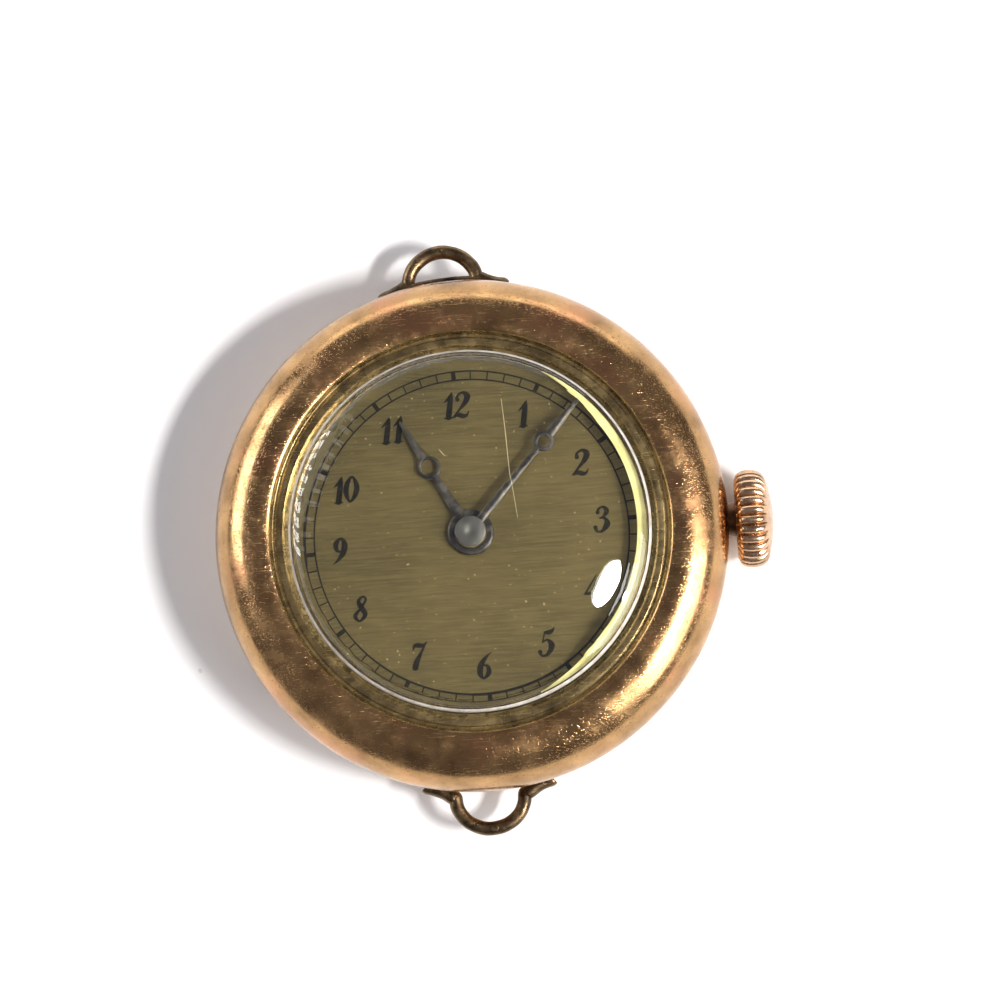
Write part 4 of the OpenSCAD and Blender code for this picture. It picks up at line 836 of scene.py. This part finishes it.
def add_ribbon(bm, points, closed, z):
    """Flat pen stroke whose width follows the third number of each point."""
    line = smooth_line(points, 7, closed)
    n = len(line)
    left, right = [], []
    for i, p in enumerate(line):
        before = line[i - 1] if closed or i else p
        after = line[(i + 1) % n] if closed or i < n - 1 else p
        along = (after - before).xy.normalized()
        side = Vector((-along.y, along.x)) * max(p.z, HAIRLINE) / 2
        left.append(bm.verts.new((p.x + side.x, p.y + side.y, z)))
        right.append(bm.verts.new((p.x - side.x, p.y - side.y, z)))
    join_rows(bm, left, right, closed)
    if not closed:
        for p, nxt in ((line[0], line[1]), (line[-1], line[-2])):
            out = (p - nxt).xy.normalized()
            half = max(p.z, HAIRLINE) / 2
            rim = []
            for k in range(9):
                t = math.pi * (k / 8 - 0.5)
                d = Vector((out.x * math.cos(t) - out.y * math.sin(t),
                            out.y * math.cos(t) + out.x * math.sin(t)))
                rim.append(bm.verts.new((p.x + d.x * half, p.y + d.y * half, z)))
            bm.faces.new(rim)


def make_numeral(number):
    bm = bmesh.new()
    digits = str(number)
    angle = math.radians(90 - 30 * number)
    nudge = Vector(NUDGES.get(number, (0, 0)))
    centre = Vector((math.cos(angle), math.sin(angle))) * NUMERAL_R + nudge
    widths = [ADVANCE.get(d, 0.6) for d in digits]
    x0 = -sum(widths) / 2
    for d, w in zip(digits, widths):
        for points in FIGURES[d]:
            placed = []
            for x, y, pen in points:
                px = (x0 + x + (y - 0.5) * SLANT) * NUMERAL_H
                placed.append((centre.x + px, centre.y + (y - 0.5) * NUMERAL_H,
                               pen * NUMERAL_H * PEN_WEIGHT))
            add_ribbon(bm, placed, d in ENDLESS, INK_Z)
        x0 += w
    raised(bm)
    placed_on_dial(bm)
    new_piece(f"numeral_{number}", bm, INK, "watch")


def placed_on_dial(bm):
    """Turns and shifts print, drawn on an upright dial, to where it lies."""
    turn_shape(bm, DIAL_TURN)
    bmesh.ops.translate(bm, verts=bm.verts, vec=PRINT_SHIFT)


def raised(bm):
    """Gives flat print its thickness down to the dial."""
    bmesh.ops.recalc_face_normals(bm, faces=bm.faces)
    for f in bm.faces:
        if f.normal.z < 0:
            f.normal_flip()
    made = bmesh.ops.extrude_face_region(bm, geom=list(bm.faces))
    moved = [g for g in made["geom"] if isinstance(g, bmesh.types.BMVert)]
    bmesh.ops.translate(bm, verts=moved, vec=(0, 0, -PRINT_T))


def make_minute_track():
    outer_r, inner_r, line = 8.95, 8.49, 0.085
    minute_wide, five_wide = 0.075, 0.24
    low = INK_Z - PRINT_T
    bm = bmesh.new()
    for radius in (outer_r, inner_r):
        lathe(bm, [(radius - line / 2, low), (radius + line / 2, low),
                   (radius + line / 2, INK_Z), (radius - line / 2, INK_Z)], 240)
    for i in range(60):
        wide = five_wide if i % 5 == 0 else minute_wide
        a = math.radians(6 * i)
        radial = Vector((math.cos(a), math.sin(a)))
        side = Vector((-radial.y, radial.x)) * wide / 2
        far, near = radial * outer_r, radial * inner_r
        corners = [near - side, far - side, far + side, near + side]
        slab(bm, [tuple(c) for c in corners], low, INK_Z + 0.001)
    placed_on_dial(bm)
    new_piece("minute_track", bm, INK, "watch")


def make_dial():
    edge, flat_rings = 0.04, 10
    foot_orbit, foot_r, foot_z = 9.3, 0.3, 4.25
    step = 0.92                    # between the rings of points on the flat face
    profile = [(DIAL_HOLE_R, DIAL_Z0), (DIAL_R, DIAL_Z0), (DIAL_R, DIAL_Z1 - edge)]
    profile += [(DIAL_R - edge - k * step, DIAL_Z1) for k in range(flat_rings)]
    profile += [(DIAL_HOLE_R + 0.03, DIAL_Z1), (DIAL_HOLE_R, DIAL_Z1 - 0.03)]
    bm = bmesh.new()
    lathe(bm, profile, 192)
    for turn in (100, 235):
        a = math.radians(turn + DIAL_TURN)
        lathe(bm, [(0.001, foot_z), (foot_r, foot_z), (foot_r, DIAL_Z0 + 0.1),
                   (0.001, DIAL_Z0 + 0.1)],
              32, centre=(foot_orbit * math.cos(a), foot_orbit * math.sin(a), 0))
    new_piece("dial_plate", bm, DIAL, "watch", ["dial"])


make_dial()
make_minute_track()
for hour in range(1, 13):
    make_numeral(hour)


# ================= hands =================

def add_blade(bm, stations, z0, z1):
    """Bar along +X from (x, half width) stations, with a low ridge along its middle."""
    rings = []
    high = z1 - 0.05
    for x, half in stations:
        rings.append([(x, -half, z0), (x, half, z0), (x, half, high),
                      (x, half * 0.55, z1), (x, -half * 0.55, z1), (x, -half, high)])
    add_rod(bm, rings)


def make_hand(name, node, body, angle, length, eye_x, eye_r, eye_in, boss, bore, root, z0, z1):
    """Hand with a round boss, a straight shank root wide, an eye eye_x out, and a long tip."""
    bm = bmesh.new()
    boss_profile = rounded([(bore, z0), (boss, z0), (boss, z1 - 0.07), (boss - 0.1, z1),
                            (bore, z1)], 0.03, 3)
    lathe(bm, boss_profile, 96)
    start = boss * 0.86
    neck = eye_x - eye_r + 0.08
    add_blade(bm, [(start, root / 2), (start + 0.5, root * 0.46), ((start + neck) / 2, root * 0.4),
                   (neck, root * 0.31)], z0 + 0.01, z1 - 0.005)
    ring = rounded([(eye_in, z0 + 0.005), (eye_r, z0 + 0.005), (eye_r, z1 - 0.06),
                    (eye_r - 0.05, z1), (eye_in + 0.04, z1), (eye_in, z1 - 0.05)], 0.02, 2)
    lathe(bm, ring, 64, centre=(eye_x, 0, 0))
    tip = eye_x + eye_r - 0.09
    add_blade(bm, [(tip, 0.21), (tip + 0.25, 0.24), (tip + (length - tip) * 0.6, 0.15),
                   (length - 0.12, 0.085), (length, 0.05)], z0 + 0.01, z1 - 0.005)
    turn_shape(bm, angle)
    dented(bm, 0.01, 0.6)
    new_piece(name, bm, HAND, body, [node], 30)


make_hand("hand_hour", "hour_hand", "hour_hand_and_wheel", HOUR_A, length=7.1, eye_x=4.17,
          eye_r=0.63, eye_in=0.44, boss=1.25, bore=0.87, root=0.62, z0=5.98, z1=6.2)
make_hand("hand_minute", "minute_hand", "minute_hand_and_pinion", MINUTE_A, length=9.35,
          eye_x=6.25, eye_r=0.57, eye_in=0.3, boss=0.8, bore=0.6, root=0.46, z0=6.48, z1=6.72)


def tooth_outline(teeth, root_r, tip_r):
    out = []
    for i in range(teeth):
        for k, r in ((-0.26, root_r), (-0.12, tip_r), (0.12, tip_r), (0.26, root_r)):
            a = math.tau * (i + k) / teeth
            out.append((r * math.cos(a), r * math.sin(a)))
    return out


def make_cannon_pinion():
    bore_r, pipe_r, cap_r = 0.33, 0.57, 0.83
    foot_z, cap_z, top_z = 4.9, 6.71, 6.8
    profile = [(bore_r, foot_z), (0.5, foot_z), (pipe_r, foot_z + 0.25), (pipe_r, cap_z),
               (cap_r - 0.04, cap_z), (cap_r, cap_z + 0.02), (cap_r - 0.01, top_z - 0.03),
               (cap_r - 0.07, top_z - 0.01), (0.44, top_z)]
    # shallow dimple in the middle of the cap
    profile += [(0.24, top_z - 0.005), (0.2, top_z - 0.02), (0.12, top_z - 0.04),
                (0.06, top_z - 0.05), (0.001, top_z - 0.052)]
    profile += [(0.001, cap_z - 0.09), (bore_r, cap_z - 0.09)]
    bm = bmesh.new()
    lathe(bm, profile, 72)
    slab(bm, tooth_outline(12, 0.55, 0.82), foot_z, foot_z + 0.28, 0.02)
    new_piece("cannon_arbor", bm, CENTRE_STEEL, "minute_hand_and_pinion", ["cannon_pinion"],
              30)


make_cannon_pinion()


# ================= scratches in the crystal =================

def make_scratch(name, points, width):
    """Thin frosted line that follows the dome."""
    line = smooth_line([(x, y, 0) for x, y in points], 10)
    bm = bmesh.new()
    n = len(line)
    rows = []
    for i, p in enumerate(line):
        along = (line[min(i + 1, n - 1)] - line[max(i - 1, 0)]).xy.normalized()
        half = width / 2 * (0.35 + 0.65 * math.sin(math.pi * (i + 0.5) / n))
        side = Vector((-along.y, along.x)) * half
        pair = []
        for q in (p.xy + side, p.xy - side):
            pair.append(bm.verts.new((q.x, q.y, dome_z(q.length) + 0.004)))
        rows.append(pair)
    for a, b in zip(rows, rows[1:]):
        bm.faces.new((a[0], a[1], b[1], b[0]))
    new_piece(name, bm, SCRATCH, "bezel_and_crystal")


make_scratch("crystal_scratch_long", [(2.2, 6.9), (2.32, 5.1), (2.42, 2.8), (2.5, 2.2),
                                      (2.7, 0.3)], 0.042)
make_scratch("crystal_scratch_short", [(-1.3, 4.3), (-1.0, 3.9)], 0.035)


# ================= movement =================

def box_centre(node):
    low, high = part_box(node)
    return tuple((low + high) / 2)


def paint(nodes, material):
    for name in nodes:
        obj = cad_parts[name]
        obj.data.materials.clear()
        obj.data.materials.append(material)
        obj.data.shade_smooth()
        obj.data.set_sharp_from_angle(angle=math.radians(25))


PLATE = frosted_metal("plate_gilt", (0.72, 0.55, 0.27), (0.42, 0.29, 0.12), (0.28, 0.5))
STEEL = worn_metal("grained_steel", (0.52, 0.51, 0.5), (0.25, 0.24, 0.23), (0.18, 0.36),
                   tint=1.2, pits=0.1, grime=0.4, depth=0.005)
BLUE = worn_metal("blue_steel", (0.05, 0.09, 0.32), (0.03, 0.04, 0.12), (0.16, 0.3),
                  tint=0.8, pits=0.1, grime=0.5, depth=0.004)
SPRING = worn_metal("spring_steel", (0.38, 0.4, 0.44), (0.16, 0.17, 0.2), (0.2, 0.34),
                    tint=0.9, pits=0.1, grime=0.4, depth=0.004)

paint(["main_plate", "barrel_bridge", "train_bridge", "balance_cock", "pallet_cock",
       "movement_ring"], PLATE)
paint(["stem", "setting_lever", "setting_lever_spring", "yoke", "clutch", "winding_pinion",
       "regulator", "hairspring_stud", "balance_staff", "roller", "pallet_fork",
       "escape_pinion", "fourth_pinion", "third_pinion", "centre_pinion", "barrel_arbor",
       "click", "crown_wheel_ring"], STEEL)
paint(["case_screws", "keyless_screws", "bridge_screws", "ratchet_screw"], BLUE)
paint(["yoke_spring", "hairspring", "mainspring", "click_spring"], SPRING)
paint(["plate_jewels", "bridge_jewels", "pallet_stones"], RUBY)
for wheel in ("hour_wheel", "minute_wheel", "fourth_wheel", "third_wheel", "centre_wheel",
              "barrel_drum", "barrel_cover", "balance_wheel", "balance_screws"):
    paint([wheel], turned_metal("turned_" + wheel, (0.78, 0.58, 0.26), (0.45, 0.31, 0.12),
                                (0.2, 0.38), box_centre(wheel)))
for wheel in ("setting_wheel", "ratchet_wheel", "crown_wheel", "escape_wheel"):
    paint([wheel], turned_metal("turned_" + wheel, (0.5, 0.49, 0.48), (0.27, 0.26, 0.25),
                                (0.16, 0.32), box_centre(wheel)))


# ================= table, light and camera =================

VIEW_TILT = 6.0        # degrees that the camera leans from straight above
VIEW_LEAN = -68        # and the way it leans, as an angle in the picture
VIEW_TURN = -3.95      # world angle of the picture's right-hand side
VIEW_DISTANCE = 0.30
VIEW_WIDTH = 0.0546    # what the picture spans at the watch
VIEW_SHIFT = (0.001529, 0.001911)      # from the watch to the middle of the picture
SENSOR = 36.0


def picture_direction(angle, rise):
    """Unit vector towards an angle seen in the picture, lifted by rise degrees."""
    a, e = math.radians(angle + VIEW_TURN), math.radians(rise)
    return Vector((math.cos(a) * math.cos(e), math.sin(a) * math.cos(e), math.sin(e)))


def paper_object(name, bm):
    """Turns bm, in metres, into an object that isn't part of the watch."""
    mesh = bpy.data.meshes.new(name)
    bm.to_mesh(mesh)
    bm.free()
    obj = bpy.data.objects.new(name, mesh)
    bpy.context.scene.collection.objects.link(obj)
    obj.data.materials.append(PAPER)
    return obj


def make_floor():
    half, gap = 0.9, 0.00003
    bm = bmesh.new()
    bmesh.ops.create_grid(bm, x_segments=8, y_segments=8, size=half)
    bmesh.ops.translate(bm, verts=bm.verts, vec=(0, 0, -gap))
    floor = paper_object("table_top", bm)


def make_light(name, angle, rise, distance, size, power, colour=(1, 1, 1), roll=0,
               shape="RECTANGLE"):
    data = bpy.data.lights.new(name, "AREA")
    data.shape = shape
    data.size, data.size_y = size
    data.energy = power
    data.color = colour
    lamp = bpy.data.objects.new(name, data)
    bpy.context.scene.collection.objects.link(lamp)
    way = picture_direction(angle, rise)
    lamp.location = way * distance
    turn = way.to_track_quat("Z", "Y")
    lamp.rotation_euler = (turn.to_matrix() @ Matrix.Rotation(math.radians(roll), 3, "Z")
                           ).to_euler()


def make_lattice(angle, rise, distance, size):
    """Uneven blind in front of the left window, which breaks its reflection into dashes."""
    rng = random.Random(12)
    wide, tall = size
    slat, rail, thick = 0.014, 0.022, 0.006
    bars = []
    x = -wide / 2
    while x < wide / 2:
        gap = rng.uniform(0.018, 0.034)
        bars.append((x, x + slat, -tall / 2, tall / 2))
        x += slat + gap
    y = -tall / 2
    while y < tall / 2:
        gap = rng.uniform(0.03, 0.06)
        bars.append((-wide / 2, wide / 2, y, y + rail))
        y += rail + gap
    bm = bmesh.new()
    for x0, x1, y0, y1 in bars:
        for v in bmesh.ops.create_cube(bm, size=1)["verts"]:
            v.co = Vector(((x0 + x1) / 2 + v.co.x * (x1 - x0),
                           (y0 + y1) / 2 + v.co.y * (y1 - y0), v.co.z * thick))
    blind = paper_object("window_blind", bm)
    way = picture_direction(angle, rise)
    blind.location = way * distance
    blind.rotation_euler = way.to_track_quat("Z", "Y").to_euler()


def make_world():
    world = bpy.data.worlds.new("soft_room")
    bpy.context.scene.world = world
    world.use_nodes = True
    sky = world.node_tree.nodes["Background"]
    sky.inputs["Color"].default_value = (0.93, 0.90, 1.0, 1)
    sky.inputs["Strength"].default_value = 0.19


def make_camera():
    data = bpy.data.cameras.new("camera")
    cam = bpy.data.objects.new("camera", data)
    bpy.context.scene.collection.objects.link(cam)
    data.sensor_width = SENSOR
    data.lens = SENSOR * VIEW_DISTANCE / VIEW_WIDTH
    data.clip_start, data.clip_end = 0.01, 5
    back = picture_direction(VIEW_LEAN, 90 - VIEW_TILT)
    up = back.cross(picture_direction(0, 0)).normalized()
    right = up.cross(back)
    target = Vector((0, 0, WIDE_Z * MM)) + right * VIEW_SHIFT[0] + up * VIEW_SHIFT[1]
    cam.location = target + back * VIEW_DISTANCE
    cam.rotation_euler = Matrix((right, up, back)).transposed().to_euler()
    bpy.context.scene.camera = cam


make_floor()
make_light("key_lamp", -15, 53.5, 0.6, (0.14, 0.055), 3.7, (1.0, 0.98, 0.95), -10, "ELLIPSE")
make_light("right_window", -19, 35, 0.75, (0.50, 0.36), 3.7, (1.0, 0.98, 0.96))
make_light("left_window", 161.5, 27, 0.7, (0.42, 0.32), 5.2, (0.95, 0.97, 1.0))
make_lattice(161.5, 27, 0.62, (0.50, 0.38))
make_light("top_wall", 92, 10, 0.8, (1.2, 0.24), 2.1, (1.0, 0.98, 0.96))
make_world()
make_camera()
bpy.context.scene.view_settings.view_transform = "Standard"
